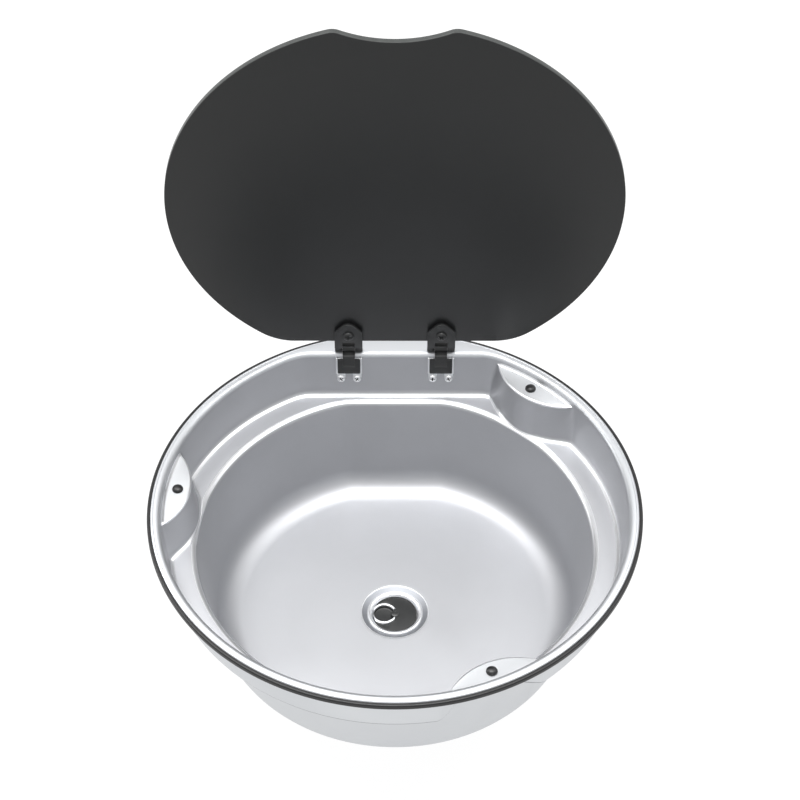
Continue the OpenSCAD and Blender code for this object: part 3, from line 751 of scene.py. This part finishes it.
        # Lip, bowl wall and floor
        for a in spread(start, quarter - bowl_draft, 7):
            add(bowl_point + bowl_out * (lip_in - self.lip * math.sin(a)),
                self.ledge_z - self.lip * (1 - math.cos(a)))
        top = self.ledge_z - self.lip * (1 - math.sin(bowl_draft))
        low = self.floor_edge_z + self.floor_fillet * (1 - math.sin(bowl_draft))
        for z in spread(top, low, 5)[1:5]:
            add(bowl_point - bowl_out * ((top - z) * math.tan(bowl_draft)), z)
        foot = (top - low) * math.tan(bowl_draft) + self.floor_fillet * math.cos(bowl_draft)
        for a in spread(bowl_draft, quarter, 10):
            add(bowl_point - bowl_out * (foot - self.floor_fillet * math.cos(a)),
                self.floor_edge_z + self.floor_fillet * (1 - math.sin(a)))
        last = line[-1].to_2d()
        for part in spread(0, 1, 7)[1:]:
            spot = last.lerp(ray * self.flat_r, part)
            add(spot, FLOOR + (self.floor_edge_z - FLOOR) * min(1.0, (spot.length - self.flat_r) / 95))
        # Seat round the drain
        dip, seat = self.dip_r, self.seat_r
        for r, z in ((dip + 1.2, FLOOR), (dip + 0.4, FLOOR - 0.08), (dip - 0.4, FLOOR - 0.42),
                     (seat + 0.7, SEAT + 0.42), (seat, SEAT + 0.1), (seat - 0.7, SEAT), (self.hole_r, SEAT)):
            add(ray * r, z)
        return line

    def worked(self) -> dict[int, int]:
        """Finish of each band of the section that isn't plain satin.

        Returns:
            Index of the material by band: 2 for the rim, painted light, 4 for tight bends, painted
                highlights, 6 for the
            drain's step, painted shade, 8 and 10 for satin and highlighted bends with painted shade on their
            underside, and 12 for the pads, painted light.
        """
        found = {band: 2 for band in range(18)}
        found |= {band: 4 for band in [*range(19, 22), *range(23, 27), *range(41, 45), 71]}
        found |= {band: 8 for band in [33, 34, *range(56, 64)]}
        return found | {22: 12, 35: 10, 36: 10, 72: 6, 73: 6, 74: 6}

    def build(self) -> None:
        """Makes the pressing, each upper finish followed by its underside's."""
        shell = Shell()
        rows = zip(*[self.section(angle) for angle in self.spokes()])
        shell.loft([list(row) for row in rows], capped=False, ring_closed=False, bands=self.worked())
        steel = self.finishes
        # Lighter copies of the satin paint light on the rim, pads and bends; darker copies paint shade on the
        # drain's step and the underside's bends.
        piece = shell.finished("pressed_basin", steel.satin, steel.mill, steel.rim, steel.mill, steel.bend,
                               steel.mill, steel.drawn, steel.mill, steel.satin, steel.drawn, steel.bend,
                               steel.drawn, steel.pad, steel.mill, sharp=70, outwards=False)
        wall = piece.modifiers.new("sheet", "SOLIDIFY")
        wall.thickness, wall.offset, wall.use_even_offset = self.sheet * MM, -1.0, False
        wall.material_offset, wall.material_offset_rim = 1, 1
        self.mount(settled(piece), "stainless", "basin")


@dataclass
class RimSeal(Assembly):
    """Rubber seal between rim and worktop, with the bead that shows outside the rim."""

    inner: float = 202.2
    flange_r: float = 207.0
    outer: float = 209.93
    height: float = 4.5
    bead_h: float = 4.25
    tuck: float = 1.3

    def build(self) -> None:
        """Makes the seal."""
        outer, bead, top, low = self.outer, self.bead_h, self.height, self.height - self.tuck
        outside, inside = self.flange_r + 0.3, self.flange_r - 2.2
        shell = Shell()
        shell.revolve([(self.inner, 0.0), *arc(outer - 0.4, 0.4, 0.4, -90, 0, 4), (outer - 0.15, 1.9),
                       *arc(outer - 1.35, bead - 1.35, 1.35, 0, 90, 7), (outside, bead), (outside, low),
                       (inside, low), (inside, top), (self.inner, top)], 288)
        self.mount(shell.finished("rim_seal_bead", self.finishes.rubber, sharp=50),
                   "rubber_black", "rim_seal")


@dataclass
class Bumpers(Assembly):
    """Three rubber bumpers on the pads, which carry the closed lid."""

    at: float = 187.5
    r: float = 4.75
    height: float = 3.5
    stem_r: float = 2.4

    def build(self) -> None:
        """Makes one bumper and sets it on each pad."""
        rubber, stem, barb, edge, low = self.finishes.rubber, self.stem_r, self.stem_r + 0.5, 0.2, -1.0
        dome = [(self.r * math.cos(a), 0.7 + (self.height - 0.7) * math.sin(a))
                for a in spread(0, math.pi / 2, 9)]
        shell = Shell()
        shell.revolve([(0, low - 3.4), (stem - 0.6, low - 3.4), (barb, low - 1.2), (barb, low - 0.1),
                       (stem, low - 0.1), (stem, 0), *arc(self.r - edge, edge, edge, -90, 0, 2), *dome],
                      40, open_ends=True)
        seats = [((pointing(a) * self.at).to_3d() + Vector((0, 0, PAD_TOP)), Euler((0, 0, math.radians(a))))
                 for a in PADS]
        copies = Copies("lid_bumpers", CopyRule.ON_POINTS, seats)
        self.mount(copies.make(shell.finished("bumper_shape", rubber), rubber),
                   "rubber_black", "bumper_back", "bumper_left", "bumper_front")


@dataclass
class WallHinges(Assembly):
    """What stays on the back wall of the two hinges: brackets, blocks, straps and screws."""

    block_w: float = 20.2
    block_h: float = 18.0
    block_t: float = 2.0
    bracket_t: float = 1.0
    cheek_w: float = 1.5
    screw_drop: float = 24.0
    screw_pitch: float = 14.4
    screw_r: float = 2.0
    screw_l: float = 4.0
    head_r: float = 3.75
    head_h: float = 2.6
    strap_w: float = 10.8
    strap_t: float = 1.2
    strap_leg: float = 10.2

    def bracket(self, x: float) -> Shell:
        """Polished channel: back plate, two cheeks and two screw lugs.

        Args:
            x: Middle of the bracket.

        Returns:
            Its surface.
        """
        shell = Shell()
        upright = on_wall(x) @ UPRIGHT
        lug_r, lug_top = self.head_r + 0.2, 1.5 - self.block_h
        for side in (-1, 1):
            cheek = rounded_box(self.cheek_w, self.block_h, 0.5,
                                side * (self.block_w / 2 + 0.1 + self.cheek_w / 2), 0.5 - self.block_h / 2)
            shell.slab(cheek, 0.0, self.bracket_t + self.block_t, 0.35, upright)
            mid = side * self.screw_pitch / 2
            lug = arc(mid, -self.screw_drop, lug_r, 180, 360, 16)
            lug += [(mid + lug_r, lug_top), (mid - lug_r, lug_top)]
            shell.slab(lug, 0.0, self.bracket_t, 0.25, upright)
        shell.slab(rounded_box(self.block_w + 0.4, self.block_h - 1.0, 0.5, 0, -self.block_h / 2 - 0.5),
                   0.0, self.bracket_t - 0.02, 0.2, upright)
        return shell

    def block(self, x: float) -> Shell:
        """Black block between the cheeks.

        Args:
            x: Middle of the block.

        Returns:
            Its surface.
        """
        shell = Shell()
        shell.slab(rounded_box(self.block_w, self.block_h - 1.2, 1.0, 0, -(self.block_h + 0.2) / 2),
                   self.bracket_t, self.bracket_t + self.block_t, 0.45, on_wall(x) @ UPRIGHT)
        return shell

    def strap(self, x: float) -> Shell:
        """Strap with its eye round the pin, over the rim's edge and down the block's face.

        Args:
            x: Middle of the strap.

        Returns:
            Its surface.
        """
        lean = math.radians(WALL_DRAFT)
        z0 = PIVOT.z - KNUCKLE_R
        bend = self.strap_t + 1
        bend_z = z0 + self.strap_t - bend
        wall_z = RIM_TOP - WALL_BEND * (1 - math.sin(lean))
        front = self.bracket_t + self.block_t
        y0 = WALL_Y + (1 - front + (bend_z - wall_z) * math.sin(lean)) / math.cos(lean)
        down = Vector((-math.sin(lean), -math.cos(lean))) * self.strap_leg
        lip = Vector((-math.cos(lean), math.sin(lean))) * 0.8
        outer = arc(y0, bend_z, bend, 90, 180 - WALL_DRAFT, 8)
        inner = arc(y0, bend_z, bend - self.strap_t, 180 - WALL_DRAFT, 90, 8)
        foot = Vector(outer[-1])
        leg = [foot + down * part + lip * out
               for part, out in ((0.88, 0.0), (0.96, 0.7), (1.03, 1.0), (1.05, 0.7))]
        leg.append(Vector(inner[0]) + down)
        side = [inner[-1], (y0 + 0.6, z0), *arc(PIVOT.y, PIVOT.z, KNUCKLE_R, -90, 88, 22),
                (PIVOT.y - 1.0, PIVOT.z + KNUCKLE_R * 0.9), (PIVOT.y - 2.3, PIVOT.z + 0.6),
                (PIVOT.y - KNUCKLE_R, z0 + self.strap_t), *outer, *map(tuple, leg), *inner[:-1]]
        shell = Shell()
        shell.slab(side, 0.0, self.strap_w, 0.18, sideways(x - self.strap_w / 2), steps=2)
        return shell

    def build(self) -> None:
        """Makes both hinges' fixed pieces, their four screws and near-black plates in the cross recesses,
        which paint their shade.
        """
        polished, black, dark = self.finishes.polished, self.finishes.black_coat, self.finishes.painted_recess_shade
        seats = []
        for x, side in zip(HINGE_XS, ("left", "right")):
            self.mount(self.bracket(x).finished("wall_bracket_" + side, polished),
                       "polished_steel", "hinge_bracket_" + side)
            self.mount(self.block(x).finished("wall_block_" + side, black),
                       "coated_steel", "hinge_block_" + side)
            self.mount(self.strap(x).finished("strap_" + side, black, sharp=45),
                       "coated_steel", "hinge_strap_" + side)
            dressed("backing_plate_" + side, self.finishes.plain)
            for end in (-1, 1):
                spot = Vector((end * self.screw_pitch / 2, -self.bracket_t, -self.screw_drop))
                turn = on_wall(x) @ UPRIGHT @ Matrix.Rotation(0.5 + x + end, 4, "Z")
                seats.append((on_wall(x) @ spot, turn.to_euler()))
        screw = pan_screw("wall_screw_shape", self.screw_r, self.head_r, self.head_h, self.screw_l,
                          polished)
        self.mount(Copies("wall_screw_set", CopyRule.ON_POINTS, seats).make(screw, polished),
                   "polished_steel", "wall_screws")
        # Near-black cross plates inside the screws' recesses: painted shade.
        wide, deep = self.head_r * 0.58, self.head_r * 0.17
        cross: Profile = []
        for i in range(4):
            turn = Matrix.Rotation(math.pi / 2 * i, 2)
            cross += [tuple(turn @ Vector(p)) for p in ((deep, deep), (deep, wide), (-deep, wide))]
        floor = Shell()
        floor.slab(cross, self.head_h * 0.35, self.head_h * 0.72, 0.05)
        floors = Copies("wall_screw_crosses", CopyRule.ON_POINTS, seats)
        self.mount(floors.make(floor.finished("cross_shape", dark), dark), "polished_steel")


@dataclass
class Lid(Assembly):
    """The tinted glass lid with its two leaves, caps and screws, made closed and turned open."""

    body: str = "lid"
    r: float = 193.94
    centre: float = 3.7
    back: float = 167.8
    corner_r: float = 50.0
    low: float = 1.8
    glass: float = 5.0
    notch: tuple[float, float, float] = (48.5, 11.0, 14.0)
    leaf_w: float = 24.7
    leaf_t: float = 2.0
    leaf_low: float = -1.7
    crest_y: float = 143.9
    slope: float = 47.0
    shoulder: float = 10.0
    riser_y: float = 171.6
    slot_w: float = 11.4
    window: tuple[float, float] = (10.8, 166.3)
    screw_y: float = 157.5
    screw: tuple[float, float, float, float] = (2.0, 4.65, 3.0, 7.9)
    cap_r: float = 8.0
    cap_h: float = 3.2

    def outline(self) -> Profile:
        """Round edge, straight back and the finger notch in the front.

        Returns:
            Corner points, anticlockwise.
        """
        half, deep, f = self.notch
        r, c, back = self.r, self.corner_r, self.back - self.centre
        cx = math.sqrt((r - c) ** 2 - (back - c) ** 2)
        a = math.degrees(math.atan2(back - c, cx))
        n_r = (half ** 2 + deep ** 2) / (2 * deep)
        n_y = deep - n_r - math.sqrt(r ** 2 - half ** 2)
        s_y = ((r - f) ** 2 - (n_r + f) ** 2 + n_y ** 2) / (2 * n_y)
        s_x = math.sqrt((r - f) ** 2 - s_y ** 2)
        lid_a = math.degrees(math.atan2(s_y, s_x))
        notch_a = math.degrees(math.atan2(s_y - n_y, s_x))
        parts = (arc(cx, back - c, c, a, 90, 8), arc(-cx, back - c, c, 90, 180 - a, 8),
                 arc(0, 0, r, 180 - a, 180 - lid_a, 96), arc(-s_x, s_y, f, 180 - lid_a, 360 - notch_a, 10),
                 arc(0, n_y, n_r, 180 - notch_a, notch_a, 40),
                 arc(s_x, s_y, f, 180 + notch_a, 360 + lid_a, 10), arc(0, 0, r, lid_a, a, 96))
        return [(x, y + self.centre) for part in parts for x, y in part[1:]]

    def leaf(self, x: float) -> Shell:
        """Leaf with a rounded crest, stepped up over the rim's edge to its two knuckles.

        Args:
            x: Middle of the leaf.

        Returns:
            Its surface, with the lid open.
        """
        half, slope = self.leaf_w / 2, math.radians(self.slope)
        crest_r = (half - self.shoulder * math.cos(slope)) / math.sin(slope)
        shoulder = self.crest_y + crest_r * (1 - math.cos(slope)) + self.shoulder * math.sin(slope)
        arm_z = PIVOT.z - KNUCKLE_R
        crest = [(crest_r * math.sin(a), self.crest_y + crest_r * (1 - math.cos(a)))
                 for a in spread(-slope, slope, 16)]
        riser, back = self.riser_y, self.riser_y + self.leaf_t
        gap, top = self.window[0] / 2, self.window[1]
        plate = [(0.2 - half, shoulder - 0.15), *crest, (half - 0.2, shoulder - 0.15),
                 (half, shoulder + 0.3), (half, back), (gap, back), (gap, top + 0.5), (gap - 0.5, top),
                 (0.5 - gap, top), (-gap, top + 0.5), (-gap, back), (-half, back), (-half, shoulder + 0.3)]
        place = OPENED @ Matrix.Translation((x, 0, 0))
        shell = Shell()
        shell.slab(plate, self.leaf_low, self.leaf_low + self.leaf_t, 0.4, place)
        arm_w, arm_top, low = (self.leaf_w - self.slot_w) / 2, arm_z + self.leaf_t, self.leaf_low + 0.3
        step = [(riser, low), (back, low), (back, arm_z), (PIVOT.y, arm_z),
                *arc(PIVOT.y, PIVOT.z, KNUCKLE_R, -90, 150, 24),
                (riser + 1.0, arm_top), (riser + 0.3, arm_top - 0.3), (riser, arm_top - 1.0)]
        for start in (-half, half - arm_w):
            shell.slab(step, 0.0, arm_w, 0.3, place @ sideways(start))
        shell.slab(rounded_box(self.slot_w + 1.2, arm_top - low, 0.2, 0, (arm_top + low) / 2),
                   0.2 - back, -riser, 0.2, place @ UPRIGHT)
        return shell

    def cap(self, x: float) -> Shell:
        """Round cap on the glass's outer face, its post through the glass.

        Args:
            x: Middle of the cap.

        Returns:
            Its surface, with the lid open.
        """
        z0, r, top = self.low + self.glass + 0.8, self.cap_r, self.low + self.glass + 0.8 + self.cap_h
        shell = Shell()
        shell.revolve([(0, 0.4), (3.2, 0.4), (3.6, 0.8), (3.6, z0), (r - 0.3, z0),
                       *arc(r - 0.3, z0 + 0.3, 0.3, -90, 0, 3), *arc(r - 1.6, top - 1.6, 1.6, 0, 84, 8),
                       (r * 0.4, top - 0.05), (0, top)], 64,
                      OPENED @ Matrix.Translation((x, self.screw_y, 0)), open_ends=True)
        return shell

    def build(self) -> None:
        """Makes the glass and both hinges' moving pieces."""
        black, rubber = self.finishes.black_coat, self.finishes.rubber
        pane = Shell()
        pane.slab(self.outline(), self.low, self.low + self.glass, 0.5, OPENED, side=1)
        self.mount(pane.finished("lid_pane", self.finishes.glass, self.finishes.ground_edge, sharp=25),
                   "tinted_glass", "lid_glass")
        seats = []
        for x, side in zip(HINGE_XS, ("left", "right")):
            self.mount(self.leaf(x).finished("lid_leaf_" + side, black), "coated_steel", "hinge_leaf_" + side)
            self.mount(self.cap(x).finished("glass_cap_" + side, black), "coated_steel", "lid_cap_" + side)
            dressed("leaf_gasket_" + side, rubber)
            dressed("hinge_pin_" + side, self.finishes.plain)
            turn = OPENED @ Matrix.Rotation(math.pi, 4, "X") @ Matrix.Rotation(0.4 + x, 4, "Z")
            seats.append((OPENED @ Vector((x, self.screw_y, self.leaf_low)), turn.to_euler()))
        dressed("cap_seals", rubber)
        screw = pan_screw("lid_screw_shape", *self.screw, black)
        self.mount(Copies("lid_screw_set", CopyRule.ON_POINTS, seats).make(screw, black),
                   "coated_steel", "lid_screws")


@dataclass
class Waste(Assembly):
    """Chrome waste flange with its throat, the back nut, the hose tail and the union nut."""

    r: float = 24.2
    bore_r: float = 19.8
    seal_t: float = 0.5
    nut_r: float = 29.8
    throat_r: float = 21.5
    throat_wall: float = 2.0
    throat_l: float = 28.0
    thread_pitch: float = 1.5
    tail_r: float = 12.5
    nut_h: float = 8.0

    def flange(self) -> Piece:
        """Flange with its plug seat, threaded throat and strainer cross.

        Returns:
            The piece.
        """
        r, bore, throat = self.r, self.bore_r, self.throat_r
        inner, seat, z = throat - self.throat_wall, bore - 2.8, -2.4
        side = [(bore, -5.5), (bore, -1.0), (bore + 0.3, -0.6), (bore + 0.8, 0.05), (throat - 0.2, 0.9),
                *arc(r - 1.1, 0.3, 1.1, 110, 10, 8), (r, 0.2), (r - 0.7, 0.2), (r - 0.7, self.seal_t),
                (throat, self.seal_t), (throat, -2.0)]
        while z > 0.6 - self.throat_l:
            side += [(throat, z), (throat - 0.5, z - self.thread_pitch / 2)]
            z -= self.thread_pitch
        side += [(throat - 0.5, -self.throat_l), (inner, -self.throat_l), (inner, -10.6), (seat, -8.6),
                 (seat, -5.9), (seat + 0.4, -5.5)]
        shell = Shell()
        place = Matrix.Translation((0, 0, SEAT))
        shell.revolve(side, 128, place)
        for angle in (0.0, math.pi / 2):
            shell.slab(rounded_box(2 * inner + 0.6, 2.0, 0.5), -14.6, -12.6, 0.4,
                       place @ Matrix.Rotation(angle, 4, "Z"))
        return shell.finished("chrome_waste", self.finishes.chrome, sharp=30)

    def ribs(self, name: str, shape: tuple[float, float, float], height: float, edge: float,
             count: int, radius: float, low: float) -> None:
        """Grip ribs round a nut.

        Args:
            name: Name of the piece.
            shape: Depth, width and corner radius of a rib.
            height, edge: Its height and the radius of its edges.
            count, radius: How many there are, and how far from the middle.
            low: Height of their lower ends.
        """
        plastic = self.finishes.waste_plastic
        rib = Shell()
        rib.slab(rounded_box(*shape), 0.0, height, edge)
        copies = Copies(name, CopyRule.ON_RING, count=count, radius=radius, height=low)
        self.mount(copies.make(rib.finished(name + "_shape", plastic), plastic), "waste_plastic")

    def build(self) -> None:
        """Makes the waste's pieces from the flange down."""
        plastic, throat = self.finishes.waste_plastic, self.throat_r
        self.mount(self.flange(), "waste_chrome", "waste_flange")
        # Back nut under the floor
        outer, top = self.nut_r, SEAT - 2.2
        low, bore = top - self.nut_h, throat + 0.05
        nut = Shell()
        nut.revolve([*nut_side(outer, low, top), (bore, top), (bore, low)], 96)
        self.mount(nut.finished("back_nut", plastic), "waste_plastic", "waste_nut")
        self.ribs("back_nut_lugs", (3.4, 4.9, 0.8), self.nut_h - 2, 0.5, 8, outer + 0.75, low)
        # Hose tail with three barbs
        end, tail_r = SEAT - self.throat_l, self.tail_r
        z1, z2, z3, z4 = end - 1.2, end - 3.7, end - 15.7, end - 45.7
        side = [(throat - 2, z1), (throat + 1.5, z1), (throat + 1.5, z2), (throat - 1, z2),
                (throat - 1, z2 - 3), (tail_r + 2.5, z3 + 1.3), (tail_r + 2.5, z3), (tail_r, z3)]
        for barb in (z4 + 18, z4 + 12, z4 + 6):
            side += [(tail_r, barb), (tail_r - 0.6, barb - 0.4), (tail_r, barb - 4)]
        side += [(tail_r, z4 + 0.8), (tail_r - 0.8, z4), (tail_r - 2, z4), (tail_r - 2, z3),
                 (throat - 3.5, z2 - 2)]
        tail = Shell()
        tail.revolve(side, 96)
        self.mount(tail.finished("hose_tail", plastic, sharp=30), "waste_plastic", "waste_tail")
        # Union nut round the tail's flange
        outer, low, top, step = throat + 5, end - 5.7, end + 6.5, end + 0.1
        union = Shell()
        union.revolve([*nut_side(outer, low, top), (bore, top), (bore, step), (throat + 1.6, step),
                       (throat + 1.6, low + 2), (throat - 0.8, low + 2), (throat - 0.8, low)], 96)
        self.mount(union.finished("ring_nut", plastic, sharp=35), "waste_plastic", "union_nut")
        self.ribs("ring_nut_ribs", (2.2, 3.0, 0.7), top - low - 1, 0.4, 12, outer + 0.1, low)
        for seal in ("waste_top_seal", "waste_lower_seal", "tail_seal"):
            dressed(seal, self.finishes.rubber)


@dataclass
class Plug(Assembly):
    """Lift-out plug: a dark disc with an off-centre finger pocket inside an open chrome rim."""

    body: str = "plug"
    r: float = 19.25
    top: float = -141.6
    plate_t: float = 3.1
    skirt_r: float = 16.0
    skirt_l: float = 7.5
    pocket_x: float = -9.5
    pocket_r: float = 8.9
    dome_r: float = 3.6
    rim_r: float = 9.0
    rim_w: float = 2.4
    rim_h: float = 2.0
    opening: float = 28.0

    def disc(self) -> Piece:
        """Disc with its finger pocket.

        Returns:
            The piece.
        """
        plastic, r, skirt, low, ledge = (self.finishes.plug_plastic, self.r, self.skirt_r, -self.skirt_l,
                                         -self.plate_t)
        place = Matrix.Translation((0, 0, self.top))
        shell = Shell()
        shell.revolve([(0, low), (skirt - 0.4, low), (skirt, low + 0.4), (skirt + 0.2, ledge),
                       (r - 0.3, ledge), (r, ledge + 0.3), *arc(r - 0.5, -0.5, 0.5, 0, 90, 5), (0, 0)],
                      96, place, open_ends=True)
        disc = shell.finished("plug_plate", plastic)
        pocket = Shell()
        r = self.pocket_r
        pocket.revolve([(0, -2.2), *arc(r - 0.8, -1.4, 0.8, -90, 0, 4), (r, 3), (0, 3)],
                       64, place @ Matrix.Translation((self.pocket_x, 0, 0)), open_ends=True)
        return carved(disc, pocket.finished("pocket_shape", plastic))

    def rim(self) -> Piece:
        """Chrome rim round the pocket, open towards the middle and trimmed to the disc.

        Returns:
            The piece.
        """
        mid, half, tall, steps = self.rim_r + self.rim_w / 2, self.rim_w / 2, self.rim_h, 64
        section = [(-half, 0.0), (half, 0.0), *arc(0, tall - half, half, 0, 180, 10), (-half, 0.6)]
        rows = []
        for i, angle in enumerate(spread(self.opening, 360 - self.opening, steps)):
            taper = min(1.0, 0.72 + 0.28 * min(i, steps - i) / 3)
            row = []
            for s, z in section:
                spot = pointing(angle) * (mid + s * taper) + Vector((self.pocket_x, 0.0))
                spot *= min(1.0, (self.r - 0.12) / spot.length)
                row.append(Vector((spot.x, spot.y, z * (0.9 + 0.1 * taper))))
            rows.append(row)
        ring = Shell()
        ring.loft(rows, Matrix.Translation((0, 0, self.top)))
        return ring.finished("plug_rim", self.finishes.chrome, sharp=55)

    def build(self) -> None:
        """Makes the plug's pieces."""
        self.mount(self.disc(), "plug_plastic", "plug_disc")
        r = self.dome_r
        dome = Shell()
        dome.revolve([(0, -2.9), (r - 0.3, -2.9), (r, -2.6)]
                     + [(r * math.cos(a), 0.3 + 1.1 * math.sin(a)) for a in spread(0, math.pi / 2, 8)],
                     48, Matrix.Translation((0, 0, self.top)), open_ends=True)
        self.mount(dome.finished("plug_dome", self.finishes.plug_plastic), "plug_plastic")
        self.mount(self.rim(), "waste_chrome", "plug_grip")
        dressed("plug_seal", self.finishes.rubber)


@dataclass
class Studio:
    """Pale floor, soft lights, white surroundings and the photograph's camera."""

    floor_z: float = -214.3
    floor_size: float = 18000.0
    eye: tuple[float, float, float] = (0.0, -1.39531, 1.60059)
    tilt: float = 43.587
    lens: float = 112.5
    shift: float = 0.00638
    lamps: tuple[tuple[str, tuple[float, float, float], float, float], ...] = (
        ("lamp_key", (-0.9, 0.3, 1.7), 1.3, 23.0),
        ("lamp_fill", (1.0, 0.3, 1.6), 1.4, 14.0),
        ("lamp_top", (0.0, -0.05, 1.8), 1.0, 31.0),
        ("lamp_low", (-1.5, 0.45, 0.4), 0.6, 7.0))

    def seen(self, tree: Tree) -> Node:
        """1 for what the camera sees straight, in a mirror or through glass, and 0 otherwise.

        Args:
            tree: Tree that gets the nodes.

        Returns:
            The node with that number.
        """
        path = add_node(tree, "ShaderNodeLightPath").outputs
        some = add_node(tree, "ShaderNodeMath", links={0: path["Is Camera Ray"], 1: path["Is Glossy Ray"]},
                        operation="MAXIMUM")
        return add_node(tree, "ShaderNodeMath", links={0: some, 1: path["Is Transmission Ray"]},
                        operation="MAXIMUM")

    def floor(self) -> None:
        """Large pale floor that shows white and keeps a soft shadow."""
        material = bpy.data.materials.new("pale_floor")
        tree = emptied(material)
        paint = add_node(tree, "ShaderNodeBsdfDiffuse", {"Color": linear("#e6e6e6")})
        glow = add_node(tree, "ShaderNodeEmission", {"Color": linear("#ffffff"), "Strength": 1.1})
        part = add_node(tree, "ShaderNodeMath", {1: 0.86}, {0: self.seen(tree)}, operation="MULTIPLY")
        mixed = add_node(tree, "ShaderNodeMixShader", links={0: part, 1: paint, 2: glow})
        add_node(tree, "ShaderNodeOutputMaterial", links={"Surface": mixed})
        half = self.floor_size / 2
        shell = Shell()
        shell.mesh.faces.new([shell.mesh.verts.new((x * half, y * half, self.floor_z))
                              for x, y in ((-1, -1), (1, -1), (1, 1), (-1, 1))])
        shell.finished("studio_floor", material, outwards=False)

    def world(self) -> None:
        """White for what the camera sees, a plain soft light for the rest."""
        world = bpy.data.worlds.new("studio")
        bpy.context.scene.world = world
        tree = emptied(world)
        soft = add_node(tree, "ShaderNodeBackground", {"Color": linear("#f4f5f8"), "Strength": 0.62})
        white = add_node(tree, "ShaderNodeBackground", {"Color": linear("#ffffff"), "Strength": 1.0})
        mixed = add_node(tree, "ShaderNodeMixShader", links={0: self.seen(tree), 1: soft, 2: white})
        add_node(tree, "ShaderNodeOutputWorld", links={"Surface": mixed})

    def camera(self) -> None:
        """Camera at the photograph's place, with its long lens."""
        data = bpy.data.cameras.new("photo_camera")
        data.sensor_width, data.lens, data.shift_x, data.clip_end = 36.0, self.lens, self.shift, 50.0
        camera = added("photo_camera", data)
        camera.location = self.eye
        camera.rotation_euler = (math.radians(self.tilt), 0.0, 0.0)
        bpy.context.scene.camera = camera

    def build(self) -> None:
        """Sets up floor, lights, surroundings and camera."""
        self.floor()
        self.world()
        for name, place, size, power in self.lamps:
            data = bpy.data.lights.new(name, "AREA")
            data.shape, data.size, data.energy = "DISK", size, power
            lamp = added(name, data)
            lamp.location = place
            lamp.rotation_euler = Vector(place).to_track_quat("Z", "Y").to_euler()
        self.camera()
        bpy.context.scene.view_settings.view_transform = "Standard"


def main() -> None:
    """Builds every sub-assembly in order and reports its pieces."""
    logging.basicConfig(level=logging.INFO, format="%(name)s: %(message)s")
    Studio().build()
    finishes = Finishes()
    for kind in (Basin, RimSeal, Bumpers, WallHinges, Lid, Waste, Plug):
        assembly = kind(finishes)
        assembly.build()
        for piece in assembly.pieces:
            LOG.info("%s: %s, %d faces", kind.__name__, piece.name, len(piece.data.polygons))


if __name__ == "__main__":
    main()
